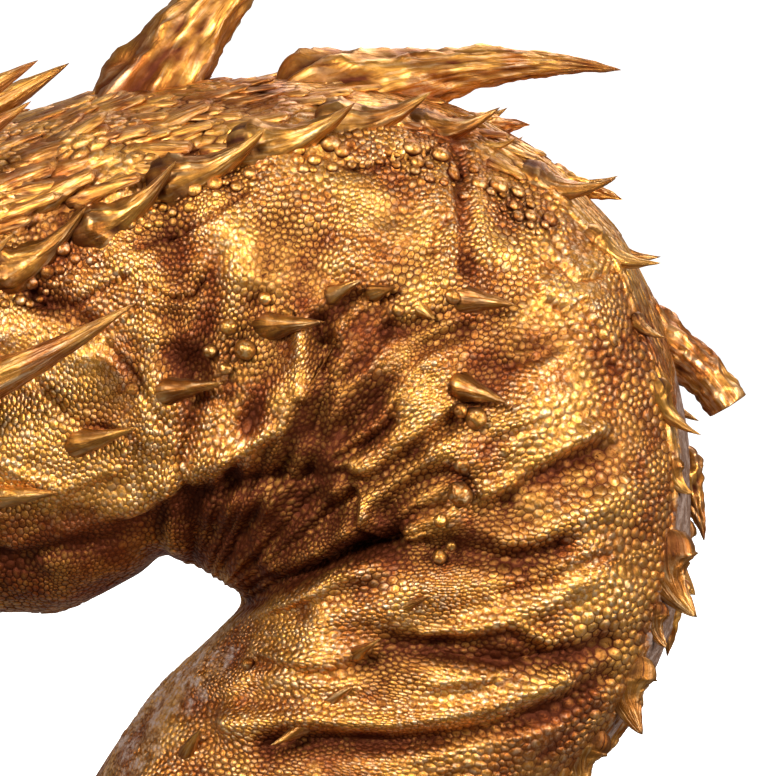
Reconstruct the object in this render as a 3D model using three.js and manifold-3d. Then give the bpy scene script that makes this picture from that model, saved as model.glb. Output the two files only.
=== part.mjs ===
// A dragon's head and neck, cast in one piece, gilded, and cut off flat at the foot of the neck.
// Millimetres, +Z up. The head faces -X, the back of the neck faces +X, and both sides of the plane y = 0
// are alike. The origin is on the flat underside.
import * as THREE from "three";
import { mergeVertices } from "three/addons/utils/BufferGeometryUtils.js";
import Module from "manifold-3d";

const wasm = await Module();
wasm.setup();

// The body runs from the cut base up the neck, round its bend and out to the nose. Each station is one
// slanted slice: [back x, back z, throat x, throat z, half width, degrees from the back to the ridge].
const STATIONS = [
  [68.8, 0, -72.5, 0, 57, 22],
  [65, 20, -63.8, 20, 54, 22],
  [68.8, 40, -53.8, 40, 51, 22],
  [78.8, 60, -42.5, 60, 49, 22],
  [92.5, 80, -30, 77.5, 48, 22],
  [101.5, 105, -17.5, 90, 48, 21],
  [104.5, 130, -9.5, 98, 49, 20],
  [101.5, 155, -7.5, 101.5, 50, 20],
  [94.5, 178.8, -8.5, 104.5, 51, 20],
  [80, 201.3, -10.5, 106.5, 51, 21],
  [60, 217.5, -13, 108.3, 51, 24],
  [35, 228, -16.3, 110, 50, 28],
  [7.5, 231.5, -21.3, 112, 49, 38],
  [-20, 230.5, -27.5, 113, 48, 48],
  [-42.5, 227.5, -35, 107.5, 48, 56],
  [-62.5, 222.5, -52.5, 99.5, 48, 59],
  [-82.5, 220, -72.5, 98.8, 49, 60],
  [-102.5, 221.3, -95, 98, 51, 60],
  [-121.3, 219, -117.5, 101, 47, 58],
  [-140, 211, -140, 106, 38, 56],
  [-157.5, 196, -160, 113, 28, 54],
  [-177.5, 180, -180, 119, 23, 50],
  [-197.5, 172, -200, 125, 21, 48],
  [-216, 171, -217, 130, 22, 46],
  [-230, 167, -229, 135, 18, 44],
  [-239, 156, -236, 143, 9, 44],
];
const SQUARENESS = 2.25; // 2 is an ellipse
const JAW_TAPER = 0.16; // share of its width that the head loses below the lips
const ROOF_TAPER = 0.1; // and over its roof
const FOLD_SPREAD = 0.6; // below 1 takes the folds further round to the back and throat
const BASE_FADE = 12; // height over which the folds die out above the cut base
const HEAD_STATION = 17; // the back of the skull
const SKULL_LENGTH = 4; // stations over which the neck's section turns into the head's
const SLICES = 24; // facets round the body
// Rings of facets for each station: closest where the neck folds, [from station, rings for each].
const RING_STEPS = [[0, 2], [3, 3], [12, 2]];

// Folds and creases of the skin, as they run on the side view: [depth, width, x, z, x, z, ...].
// A positive depth stands up as a ridge and a negative one is a crease.
const FOLDS = [
  [-5.0, 2.8, -7.5, 101, 3.8, 109.6, 19.2, 117, 33.6, 122],
  [-3.2, 4.4, -62.6, 115, -47.9, 118.6, -33.6, 123.6, -17.3, 128.7, -6.8, 134, 4.4, 135.7],
  [2.2, 3.4, -58.6, 118.6, -50.9, 119, -37.2, 124.7, -19.6, 136.7, -4.7, 144],
  [-3.0, 5.5, -12, 119, 2, 124, 13, 130],
  [-2.4, 3.2, -2.5, 112, 16, 125, 23.4, 132],
  [2.4, 2.6, 4, 111.5, 18, 120, 27, 128],
  [2.2, 2.4, 12.3, 171.6, 12.8, 166.4, 11.7, 157.3, 8.3, 150.4, -5, 143],
  [-2.6, 2.6, 16.2, 174, 18.3, 167.8, 17.4, 159, 15.3, 148.3, 12, 138],
  [-2.4, 2.2, 51.2, 173.4, 41.9, 168.8, 33.8, 158.8, 28, 152.6, 22.4, 149],
  [1.8, 2.4, 48.2, 154.5, 38.6, 146.7, 28, 138],
  [-2.4, 2.4, 48.4, 151.5, 38, 143.6, 30, 137.4, 23.5, 136],
  [-2.6, 2.4, 46.4, 138.5, 40, 136.4, 35.2, 132.7, 31.4, 128.6],
  [1.8, 2.4, 83.4, 148.7, 72.5, 143, 63.8, 136.7, 57, 134.3],
  [-2.4, 2.6, 84, 144.5, 68.4, 138.6, 60.9, 132.4],
  [1.4, 3.0, 89.3, 134, 79.7, 128.7, 68, 123, 61.3, 122],
  [-2.6, 3.4, 33.5, 119, 44.7, 120, 56.7, 119, 66.3, 117, 74, 121],
  [1.8, 3.0, 51.2, 101.2, 65.8, 105.6, 77.6, 111],
  [-2.8, 3.0, 33.4, 97.5, 48.2, 96, 62.3, 94, 71.3, 93.8, 84.7, 96],
  [2.6, 3.0, -6, 78, 8, 79, 17.2, 79.5, 33.8, 78.2, 50.9, 81, 65.9, 85.4, 73.8, 88.5],
  [-2.8, 2.8, 3, 72.2, 16, 74.2, 33.6, 73.6, 47.2, 74.6, 60.9, 77, 74, 81.4, 84.8, 87.4],
  [2.0, 3.6, -16, 50, 26, 50, 62.5, 58],
  [-2.2, 3.4, -30, 36, 10, 38, 60, 44],
  [-2.2, 2.0, 47.6, 222, 49.3, 209.6, 50.4, 200.7, 51, 192.4, 51.2, 187.4],
  [-2.2, 4.0, -19.3, 175, -18.3, 169, -16, 162.6],
  [-2.4, 3.6, -52.5, 181.4, -45.4, 178, -39.6, 173.6],
  [1.6, 5.0, -8, 202, -2, 186],
  [-1.4, 5.0, -22, 200, -16, 184],
];
// The same for the head: brow, cheekbone, jaw, lips and nostril.
const HEAD_FOLDS = [
  [6.5, 6.0, -166, 183, -150, 193, -128, 200, -110, 204],
  [-5.0, 7.0, -152, 178, -140, 180],
  [5.0, 6.5, -176, 158, -152, 165, -126, 160, -106, 150],
  [-3.6, 7.0, -150, 149, -122, 142],
  [6.0, 14, -112, 124, -98, 134],
  [2.2, 3.4, -234, 151, -212, 151, -190, 153, -166, 148, -140, 139],
  [2.0, 3.6, -228, 138, -200, 137, -170, 131, -140, 119],
  [4.0, 6.0, -224, 161, -217, 163],
  [-2.4, 4.0, -208, 158, -190, 164, -174, 172],
];

// The mouth is a wedge cut into both sides: its line on the side view, and the width and depth of the cut.
const MOUTH = [
  -240, 148, -230, 146, -218, 144, -204, 145.5, -190, 147.5, -176, 144, -163, 139, -148, 132, -136, 128,
];
const MOUTH_WIDTH = 2.6;
const MOUTH_DEPTH = 3.5;
const NOSTRIL = { x: -226, z: 160, radius: 4.2, depth: 5, slant: 2 };

// Thorns of the two ridges, which run down both sides of the back and point away from the head:
// [station, length].
const RIDGE_THORNS = [
  [15.9, 22], [15, 23], [13.9, 24], [12.95, 26], [12.2, 27], [11.5, 24], [10.75, 19], [10.2, 9], [9.6, 20],
  [8.75, 17], [7.9, 8], [7.15, 15], [6.35, 8], [5.5, 17], [4.9, 9], [4.3, 15], [3.5, 13], [2.7, 12],
  [1.8, 11], [0.9, 10],
];
const RIDGE_THORN_SLENDER = 4.2; // length over root radius
// Degrees that the thorns are lifted off the skin, and that they stand above the ridge: [station, degrees].
const RIDGE_LIFT = [[0, 33], [8, 30], [10, 36], [11.5, 22], [17, 14]];
const RIDGE_TURN = [[0, 0], [8, 0], [9.5, 5], [11, 7], [12.5, 0], [17, 0]];

// Tall spines down the middle of the back: [station, length, root radius, lift at the root, lift at the tip].
const SPINES = [
  [13.45, 90, 11, 56, 8],
  [11.65, 72, 8, 20, -4],
  [10.3, 12, 3, 30, 20],
  [9.3, 14, 3.2, 30, 20],
  [7.6, 27, 7, 36, 14],
  [6.2, 18, 4, 14, 6],
  [4.9, 14, 3.6, 13, 5],
  [3.7, 12, 3.4, 13, 5],
  [2.5, 12, 3.2, 13, 5],
  [1.3, 10, 3, 13, 5],
];
const STOUT_SPINE = 6; // a spine with a root radius above this is rounder and more curved

// Thorns on the sides of the neck:
// [station, degrees from the back, length, root radius, heading on the side view].
const SIDE_THORNS = [
  [15.4, 115, 19, 4, 16],
  [14.3, 108, 18, 3.4, 24],
  [12.75, 102, 17, 3.6, 12],
  [11.4, 88, 16, 3.4, 5],
  [10.75, 79, 9, 2.2, 24],
  [10.29, 75, 6, 2.2, 8],
  [9.3, 65, 12, 4, -10],
  [8.56, 78, 12, 3.8, -22],
  [7.26, 87, 6, 3.4, -10],
  [5.66, 98, 9, 2, 26],
  [4.28, 103, 9, 2, 26],
  [3.89, 104, 9, 2, 200],
  [3.49, 131, 9, 2.4, 30],
  [2.3, 104, 9, 2.2, 230],
  [1.3, 106, 9, 2.4, 240],
];
const SIDE_LIFT = 22; // degrees off the skin

// Low spikes that cover the back between the ridge rows: rows across, with a length that grows to the head.
const CREST_ROWS = [10.6, 11.4, 12.3, 13.1, 14, 14.7, 15.5, 16.3];
const CREST_LENGTH = 16;
const CREST_RADIUS = 3.6;
const CREST_STEP = 18; // degrees between spikes in a row
const CREST_LIFT = [12, 6]; // degrees off the skin, at the root and at the tip
const CREST_MARGIN = 9; // degrees that the crest stays clear of the ridge

// Horns of the head, on both sides: [root x, y, z, tip x, y, z, sag of the middle, root radius].
const HORNS = [
  [-104, 22, 214, -46, 25, 236, -3, 8.5],
  [-98, 36, 203, -48, 42, 227, -3, 7.5],
  [-104, 44, 178, -58, 64, 192, -2, 6.5],
  [-108, 42, 140, -24.5, 68, 180, -6, 9.5],
  [-158, 19, 190, -106, 38, 230, -1, 8],
  [-112, 40, 158, -76, 63, 160, -2, 5],
];
const HORN_BOW = 5; // how far the middle of a horn stands out sideways
// Spikes along the jaw, on both sides: [station, degrees from the back, length, root radius, lift].
const JAW_SPIKES = [
  [16.7, 128, 30, 6, 24],
  [17.7, 142, 25, 5, 26],
  [18.8, 146, 19, 4, 28],
  [20, 148, 14, 3.2, 30],
  [21.2, 150, 11, 2.7, 32],
];
// Spikes on the middle of the nose and chin: [station, degrees from the back, length, radius, lift].
const NOSE_SPIKES = [
  [23.3, 0, 13, 3.6, 50],
  [22, 0, 9, 3, 44],
  [20.8, 0, 9, 3, 40],
  [19.4, 0, 12, 3.6, 38],
  [18.2, 0, 18, 4.4, 34],
  [16.6, 0, 26, 5, 30],
  [23, 180, 11, 3, 40],
  [21, 180, 9, 2.8, 36],
];
const TIP_DROP = 16; // degrees that the tips of these spikes bend back

const EYE = { x: -144.5, z: 178.5, radius: 8.5, show: 3.4 };

// Teeth that overlap the lips: [x, z of the root, length, +1 up or -1 down].
const TEETH = [
  [-231, 146.5, 8, -1], [-225, 143, 7, 1], [-216, 145.5, 5, -1], [-207, 147.5, 7, -1], [-199, 146, 6, 1],
  [-190, 146, 5, -1], [-180, 144.5, 6, -1], [-170, 141, 4.5, -1], [-161, 138, 4, -1],
];
const TOOTH_RADIUS = 1.7;

const DEGREE = Math.PI / 180;
const SPIKE_TAPER = 0.85; // below 1 keeps a spike stout along its length

// Catmull-Rom value of one column of the station table.
const columns = STATIONS[0].map((_, k) =>
  new THREE.SplineCurve(STATIONS.map((row, i) => new THREE.Vector2(i, row[k]))));
const column = (k, station) => columns[k].getPoint(station / (STATIONS.length - 1)).y;

// Value of a table at a station, straight between its rows.
function valueAt(table, station) {
  const next = Math.max(table.findIndex(([s]) => s >= station), 1);
  const [[s0, v0], [s1, v1]] = [table[next - 1], table[next]];
  return THREE.MathUtils.mapLinear(station, s0, s1, v0, v1);
}

// Height that the folds give the skin at a point of the side view.
function foldHeight(folds, x, z) {
  let height = 0;
  for (const [depth, width, ...line] of folds) {
    let nearest = Infinity;
    for (let i = 0; i + 3 < line.length; i += 2) {
      const [ax, az, bx, bz] = line.slice(i, i + 4);
      const along = THREE.MathUtils.clamp(
        ((x - ax) * (bx - ax) + (z - az) * (bz - az)) / ((bx - ax) ** 2 + (bz - az) ** 2), 0, 1);
      nearest = Math.min(nearest, Math.hypot(x - ax - along * (bx - ax), z - az - along * (bz - az)));
    }
    height += depth * Math.exp(-((nearest / width) ** 2));
  }
  return height;
}

// A point of the skin: the station along the body, and the angle round it from the back towards -Y.
function skinPoint(station, angle) {
  const back = new THREE.Vector3(column(0, station), 0, column(1, station));
  const throat = new THREE.Vector3(column(2, station), 0, column(3, station));
  const up = back.clone().sub(throat);
  const half = up.length() / 2;
  up.normalize();
  const power = 2 / SQUARENESS;
  const c = Math.sign(Math.cos(angle)) * Math.abs(Math.cos(angle)) ** power;
  const s = Math.sign(Math.sin(angle)) * Math.abs(Math.sin(angle)) ** power;
  const down = (1 - c) / 2;
  const head = THREE.MathUtils.smoothstep(station, HEAD_STATION, HEAD_STATION + SKULL_LENGTH);
  const jaw = 1 - JAW_TAPER * head * THREE.MathUtils.smoothstep(down, 0.5, 0.75);
  const roof = 1 - ROOF_TAPER * head * (1 - THREE.MathUtils.smoothstep(down, 0.05, 0.35));
  const point = back.clone().add(throat).multiplyScalar(0.5)
    .addScaledVector(up, half * c)
    .add(new THREE.Vector3(0, -column(4, station) * s * jaw * roof, 0));
  const side = Math.abs(Math.sin(angle)) ** FOLD_SPREAD;
  const above = THREE.MathUtils.smoothstep(point.z, 0, BASE_FADE);
  const folds = station < HEAD_STATION ? FOLDS : HEAD_FOLDS;
  const height = foldHeight(folds, point.x, point.z) * side * above;
  return point.add(new THREE.Vector3(up.x * c, -s, up.z * c).normalize().multiplyScalar(height));
}

// Unit vectors at a point of the skin: out of it, and along it away from the head.
function skinFrame(station, angle) {
  const step = 0.05;
  const point = skinPoint(station, angle);
  const behind = skinPoint(Math.max(station - step, 0), angle);
  const backwards = behind.sub(skinPoint(station + step, angle)).normalize();
  const round = skinPoint(station, angle + step).sub(skinPoint(station, angle - step)).normalize();
  const out = new THREE.Vector3().crossVectors(round, backwards).normalize();
  return { point, backwards, out };
}

const middle = (ring) => ring.reduce((sum, p) => sum.add(p), new THREE.Vector3()).divideScalar(ring.length);

// Closed mesh from rings of points, each ring in order, with a fan over each end.
function closedRings(rings, end = middle(rings.at(-1))) {
  const sides = rings[0].length;
  const points = rings.flat();
  const first = points.push(middle(rings[0])) - 1;
  const last = points.push(end) - 1;
  const faces = [];
  for (let j = 0; j < sides; j++) {
    const k = (j + 1) % sides;
    faces.push(first, k, j);
    const lastRing = (rings.length - 1) * sides;
    faces.push(last, lastRing + j, lastRing + k);
    for (let i = 0; i + 1 < rings.length; i++) {
      const a = i * sides + j, b = i * sides + k;
      faces.push(a, b, a + sides, b, b + sides, a + sides);
    }
  }
  const geometry = new THREE.BufferGeometry().setFromPoints(points);
  geometry.setIndex(faces);
  return geometry;
}

// A horn, thorn or tooth: a tapered sweep along a curve, with its root sunk in what carries it.
function spike({ root, bend, tip, radius, sides = 6, rings = 3, flat = 1 }) {
  const curve = new THREE.QuadraticBezierCurve3(root, bend, tip);
  const frames = curve.computeFrenetFrames(rings, false);
  const made = Array.from({ length: rings }, (_, i) => {
    const r = radius * (1 - i / rings) ** SPIKE_TAPER;
    return Array.from({ length: sides }, (_, j) => {
      const a = (j / sides) * 2 * Math.PI;
      return curve.getPoint(i / rings)
        .addScaledVector(frames.normals[i], r * Math.cos(a))
        .addScaledVector(frames.binormals[i], r * flat * Math.sin(a));
    });
  });
  return closedRings(made, tip);
}

// A spike that grows from the skin and leans back from the head.
function skinSpike(station, angle, length, radius, lift, tipLift, shape = {}) {
  const { point, backwards, out } = skinFrame(station, angle);
  const lean = (degrees) => backwards.clone().multiplyScalar(Math.cos(degrees * DEGREE))
    .addScaledVector(out, Math.sin(degrees * DEGREE));
  const root = point.clone().addScaledVector(lean(lift), -radius * 0.6).addScaledVector(out, -radius * 0.5);
  const bend = point.clone().addScaledVector(lean(lift), length * 0.5);
  const tip = bend.clone().addScaledVector(lean(tipLift), length * 0.5);
  return spike({ root, bend, tip, radius, ...shape });
}

function solid(geometry) {
  const bare = geometry.index ? geometry.clone() : geometry;
  bare.deleteAttribute("normal");
  bare.deleteAttribute("uv");
  const merged = mergeVertices(bare, 1e-4);
  const mesh = new wasm.Mesh({
    numProp: 3,
    vertProperties: new Float32Array(merged.attributes.position.array),
    triVerts: new Uint32Array(merged.index.array),
  });
  const made = new wasm.Manifold(mesh);
  if (made.volume() > 0) return made;
  const turned = new Uint32Array(merged.index.array);
  for (let i = 0; i < turned.length; i += 3) [turned[i + 1], turned[i + 2]] = [turned[i + 2], turned[i + 1]];
  const outwards = { numProp: 3, vertProperties: mesh.vertProperties, triVerts: turned };
  return new wasm.Manifold(new wasm.Mesh(outwards));
}

// Body
function bodyGeometry() {
  const stations = RING_STEPS.flatMap(([from, steps], i) => {
    const to = RING_STEPS[i + 1]?.[0] ?? STATIONS.length - 1;
    return Array.from({ length: (to - from) * steps }, (_, j) => from + j / steps);
  });
  stations.push(STATIONS.length - 1);
  const rings = stations.map((station) =>
    Array.from({ length: SLICES }, (_, j) => skinPoint(station, (j / SLICES) * 2 * Math.PI)));
  rings[0].forEach((p) => (p.z = 0));
  return closedRings(rings);
}

// Both sides of the plane y = 0
const SIDES = [1, -1];
const parts = [bodyGeometry()];

for (const [station, length] of RIDGE_THORNS) {
  const lift = valueAt(RIDGE_LIFT, station);
  const angle = column(5, station) - valueAt(RIDGE_TURN, station);
  const radius = length / RIDGE_THORN_SLENDER;
  for (const side of SIDES)
    parts.push(skinSpike(station, side * angle * DEGREE, length, radius, lift, lift * 0.7,
      { sides: 5, rings: 2 }));
}

for (const [station, length, radius, lift, tipLift] of SPINES)
  parts.push(skinSpike(station, 0, length, radius, lift, tipLift,
    radius > STOUT_SPINE ? { sides: 7, rings: 4 } : { sides: 5, rings: 2 }));

for (const [station, angle, length, radius, heading] of SIDE_THORNS) {
  for (const side of SIDES) {
    const { point, out } = skinFrame(station, side * angle * DEGREE);
    const forward = new THREE.Vector3(Math.cos(heading * DEGREE), 0, Math.sin(heading * DEGREE));
    const lean = forward.addScaledVector(out, -forward.dot(out)).normalize()
      .multiplyScalar(Math.cos(SIDE_LIFT * DEGREE)).addScaledVector(out, Math.sin(SIDE_LIFT * DEGREE));
    parts.push(spike({
      root: point.clone().addScaledVector(lean, -radius * 0.5).addScaledVector(out, -radius * 0.35),
      bend: point.clone().addScaledVector(lean, length * 0.5).addScaledVector(out, length * 0.04),
      tip: point.clone().addScaledVector(lean, length),
      radius, sides: 4, rings: 2,
    }));
  }
}

CREST_ROWS.forEach((station, row) => {
  const reach = column(5, station) - CREST_MARGIN;
  for (let angle = row % 2 ? CREST_STEP : CREST_STEP / 2; angle < reach; angle += CREST_STEP) {
    const length = CREST_LENGTH * (0.7 + 0.5 * (row / CREST_ROWS.length));
    for (const side of SIDES)
      parts.push(skinSpike(station, side * angle * DEGREE, length, CREST_RADIUS, ...CREST_LIFT,
        { sides: 4, rings: 1, flat: 0.55 }));
  }
});

for (const [x, y, z, tx, ty, tz, sag, radius] of HORNS) {
  for (const side of SIDES) {
    const root = new THREE.Vector3(x, -side * y, z);
    const tip = new THREE.Vector3(tx, -side * ty, tz);
    const bend = root.clone().lerp(tip, 0.5).add(new THREE.Vector3(0, -side * HORN_BOW, sag));
    parts.push(spike({ root, bend, tip, radius, sides: 6, rings: 3 }));
  }
}

for (const [station, angle, length, radius, lift] of JAW_SPIKES) {
  for (const side of SIDES)
    parts.push(skinSpike(station, side * angle * DEGREE, length, radius, lift, lift - TIP_DROP,
      { sides: 4, rings: 2 }));
}

for (const [station, angle, length, radius, lift] of NOSE_SPIKES)
  parts.push(skinSpike(station, angle * DEGREE, length, radius, lift, lift - TIP_DROP,
    { sides: 4, rings: 2 }));

// Where the skin meets a point of the side view, on the near side.
function onSide(x, z) {
  let best = null, nearest = Infinity;
  for (let station = HEAD_STATION; station < STATIONS.length - 1; station += 0.1)
    for (let angle = 30; angle <= 150; angle += 2) {
      const p = skinPoint(station, angle * DEGREE);
      const d = Math.hypot(p.x - x, p.z - z);
      if (d < nearest) [nearest, best] = [d, p];
    }
  return best;
}

const eyeSkin = onSide(EYE.x, EYE.z);
for (const side of SIDES) {
  const ball = new THREE.SphereGeometry(EYE.radius, 10, 7);
  ball.translate(EYE.x, side * (Math.abs(eyeSkin.y) - EYE.radius + EYE.show), EYE.z);
  parts.push(ball);
}

const teeth = [];
for (const [x, z, length, way] of TEETH) {
  const skin = onSide(x, z);
  for (const side of SIDES) {
    const out = Math.abs(skin.y);
    const root = new THREE.Vector3(x, side * (out - 0.6), z - way * 2.5);
    const tip = new THREE.Vector3(x + 1.2, side * (out + 0.4), z + way * length);
    const bend = new THREE.Vector3(x - 0.6, side * (out + 1.4), z + (way * length) / 2);
    teeth.push(spike({ root, bend, tip, radius: TOOTH_RADIUS, sides: 4, rings: 1 }));
  }
}

const cuts = [];
for (const side of SIDES) {
  const sections = [];
  for (let i = 0; i < MOUTH.length; i += 2) {
    const [x, z] = MOUTH.slice(i, i + 2);
    const y = Math.abs(onSide(x, z).y);
    const ahead = i === 0 ? 1 : 0; // opens through the front of the lips
    sections.push([
      new THREE.Vector3(x - ahead, side * (y - MOUTH_DEPTH), z),
      new THREE.Vector3(x - ahead, side * (y + MOUTH_DEPTH), z + MOUTH_WIDTH),
      new THREE.Vector3(x - ahead, side * (y + MOUTH_DEPTH), z - MOUTH_WIDTH),
    ]);
  }
  cuts.push(closedRings(sections));
  const skin = onSide(NOSTRIL.x, NOSTRIL.z);
  const reach = Math.abs(skin.y);
  const root = new THREE.Vector3(NOSTRIL.x - NOSTRIL.slant, side * (reach + NOSTRIL.depth / 2), NOSTRIL.z);
  const tip = new THREE.Vector3(NOSTRIL.x + NOSTRIL.slant, side * (reach - NOSTRIL.depth), NOSTRIL.z);
  const bend = root.clone().lerp(tip, 0.5);
  cuts.push(spike({ root, bend, tip, radius: NOSTRIL.radius, rings: 1 }));
}

// One casting
const joined = parts.map(solid).reduce((whole, part) => whole.add(part));
const carved = cuts.map(solid).reduce((whole, cut) => whole.subtract(cut), joined);
const casting = teeth.map(solid).reduce((whole, tooth) => whole.add(tooth), carved);
const { numProp, vertProperties, triVerts } = casting.getMesh();
const position = new Float32Array((vertProperties.length / numProp) * 3);
for (let i = 0; i * 3 < position.length; i++)
  position.set(vertProperties.subarray(i * numProp, i * numProp + 3), i * 3);
const geometry = new THREE.BufferGeometry()
  .setAttribute("position", new THREE.BufferAttribute(position, 3))
  .setIndex(new THREE.BufferAttribute(triVerts, 1));
geometry.computeVertexNormals();

const gilding = new THREE.MeshStandardMaterial({ color: 0xb9812f, roughness: 0.36, metalness: 1 });
const dragon = new THREE.Mesh(geometry, gilding);
dragon.name = "dragon_bust";

const group = new THREE.Group();
group.add(dragon);
export default group;
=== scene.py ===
"""Looks of a gilded dragon bust: scaled skin, thorns, spines, crest and head around the fixed frame."""

import logging
import math
from dataclasses import dataclass, field
from enum import Enum

import bpy
import numpy as np
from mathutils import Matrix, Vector
from mathutils.geometry import delaunay_2d_cdt


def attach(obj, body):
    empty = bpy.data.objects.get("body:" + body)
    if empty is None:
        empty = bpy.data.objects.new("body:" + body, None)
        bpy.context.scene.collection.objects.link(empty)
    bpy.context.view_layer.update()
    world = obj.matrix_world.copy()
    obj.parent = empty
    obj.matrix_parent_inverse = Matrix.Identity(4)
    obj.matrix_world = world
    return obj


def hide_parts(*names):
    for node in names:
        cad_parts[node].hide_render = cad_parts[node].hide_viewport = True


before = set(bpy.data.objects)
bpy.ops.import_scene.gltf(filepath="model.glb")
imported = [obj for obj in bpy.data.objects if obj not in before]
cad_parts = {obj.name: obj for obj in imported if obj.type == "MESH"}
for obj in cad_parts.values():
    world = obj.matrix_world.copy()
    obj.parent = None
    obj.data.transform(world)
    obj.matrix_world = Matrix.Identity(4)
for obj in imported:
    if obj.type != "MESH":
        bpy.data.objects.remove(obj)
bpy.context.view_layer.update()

logging.basicConfig(level=logging.INFO, format="%(message)s")
LOG = logging.getLogger("dragon")

BODY = "root"
NODE = "dragon_bust"
Socket = bpy.types.NodeSocket
MM = 0.001
DEGREE = math.pi / 180

# The body in millimetres, as the frame has it: one row for each station, from the cut base to the nose.
# Back x and z, throat x and z, half width, degrees from the back to the ridge of thorns.
STATIONS = np.array([
    (68.8, 0, -72.5, 0, 57, 22),
    (65, 20, -63.8, 20, 54, 22),
    (68.8, 40, -53.8, 40, 51, 22),
    (78.8, 60, -42.5, 60, 49, 22),
    (92.5, 80, -30, 77.5, 48, 22),
    (101.5, 105, -17.5, 90, 48, 21),
    (104.5, 130, -9.5, 98, 49, 20),
    (101.5, 155, -7.5, 101.5, 50, 20),
    (94.5, 178.8, -8.5, 104.5, 51, 20),
    (80, 201.3, -10.5, 106.5, 51, 21),
    (60, 217.5, -13, 108.3, 51, 24),
    (35, 228, -16.3, 110, 50, 28),
    (7.5, 231.5, -21.3, 112, 49, 38),
    (-20, 230.5, -27.5, 113, 48, 48),
    (-42.5, 227.5, -35, 107.5, 48, 56),
    (-62.5, 222.5, -52.5, 99.5, 48, 59),
    (-82.5, 220, -72.5, 98.8, 49, 60),
    (-102.5, 221.3, -95, 98, 51, 60),
    (-121.3, 219, -117.5, 101, 47, 58),
    (-140, 211, -140, 106, 38, 56),
    (-157.5, 196, -160, 113, 28, 54),
    (-177.5, 180, -180, 119, 23, 50),
    (-197.5, 172, -200, 125, 21, 48),
    (-216, 171, -217, 130, 22, 46),
    (-230, 167, -229, 135, 18, 44),
    (-239, 156, -236, 143, 9, 44),
])
BACK_X, BACK_Z, THROAT_X, THROAT_Z, HALF_WIDTH, RIDGE = range(6)  # the columns
LAST_STATION = len(STATIONS) - 1
HEAD_STATION = 17
NECK_END = 17.2  # the neck's skin runs on under the head's
HEAD_START = 16.4

# Folds of the skin on the side view: depth, width, then x and z along the line. Creases are negative.
FOLDS = [
    (-5.0, 2.8, -7.5, 101, 3.8, 109.6, 19.2, 117, 33.6, 122),
    (-3.2, 4.4, -62.6, 115, -47.9, 118.6, -33.6, 123.6, -17.3, 128.7, -6.8, 134, 4.4, 135.7),
    (2.2, 3.4, -58.6, 118.6, -50.9, 119, -37.2, 124.7, -19.6, 136.7, -4.7, 144),
    (-3.0, 5.5, -12, 119, 2, 124, 13, 130),
    (-2.4, 3.2, -2.5, 112, 16, 125, 23.4, 132),
    (2.4, 2.6, 4, 111.5, 18, 120, 27, 128),
    (2.2, 2.4, 12.3, 171.6, 12.8, 166.4, 11.7, 157.3, 8.3, 150.4, -5, 143),
    (-2.6, 2.6, 16.2, 174, 18.3, 167.8, 17.4, 159, 15.3, 148.3, 12, 138),
    (-2.4, 2.2, 51.2, 173.4, 41.9, 168.8, 33.8, 158.8, 28, 152.6, 22.4, 149),
    (1.8, 2.4, 48.2, 154.5, 38.6, 146.7, 28, 138),
    (-2.4, 2.4, 48.4, 151.5, 38, 143.6, 30, 137.4, 23.5, 136),
    (-2.6, 2.4, 46.4, 138.5, 40, 136.4, 35.2, 132.7, 31.4, 128.6),
    (1.8, 2.4, 83.4, 148.7, 72.5, 143, 63.8, 136.7, 57, 134.3),
    (-2.4, 2.6, 84, 144.5, 68.4, 138.6, 60.9, 132.4),
    (1.4, 3.0, 89.3, 134, 79.7, 128.7, 68, 123, 61.3, 122),
    (-2.6, 3.4, 33.5, 119, 44.7, 120, 56.7, 119, 66.3, 117, 74, 121),
    (1.8, 3.0, 51.2, 101.2, 65.8, 105.6, 77.6, 111),
    (-2.8, 3.0, 33.4, 97.5, 48.2, 96, 62.3, 94, 71.3, 93.8, 84.7, 96),
    (2.6, 3.0, -6, 78, 8, 79, 17.2, 79.5, 33.8, 78.2, 50.9, 81, 65.9, 85.4, 73.8, 88.5),
    (-2.8, 2.8, 3, 72.2, 16, 74.2, 33.6, 73.6, 47.2, 74.6, 60.9, 77, 74, 81.4, 84.8, 87.4),
    (2.0, 3.6, -16, 50, 26, 50, 62.5, 58),
    (-2.2, 3.4, -30, 36, 10, 38, 60, 44),
    (-2.2, 2.0, 47.6, 222, 49.3, 209.6, 50.4, 200.7, 51, 192.4, 51.2, 187.4),
    (-2.2, 4.0, -19.3, 175, -18.3, 169, -16, 162.6),
    (-2.4, 3.6, -52.5, 181.4, -45.4, 178, -39.6, 173.6),
    (1.6, 5.0, -8, 202, -2, 186),
    (-1.4, 5.0, -22, 200, -16, 184),
]
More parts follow.
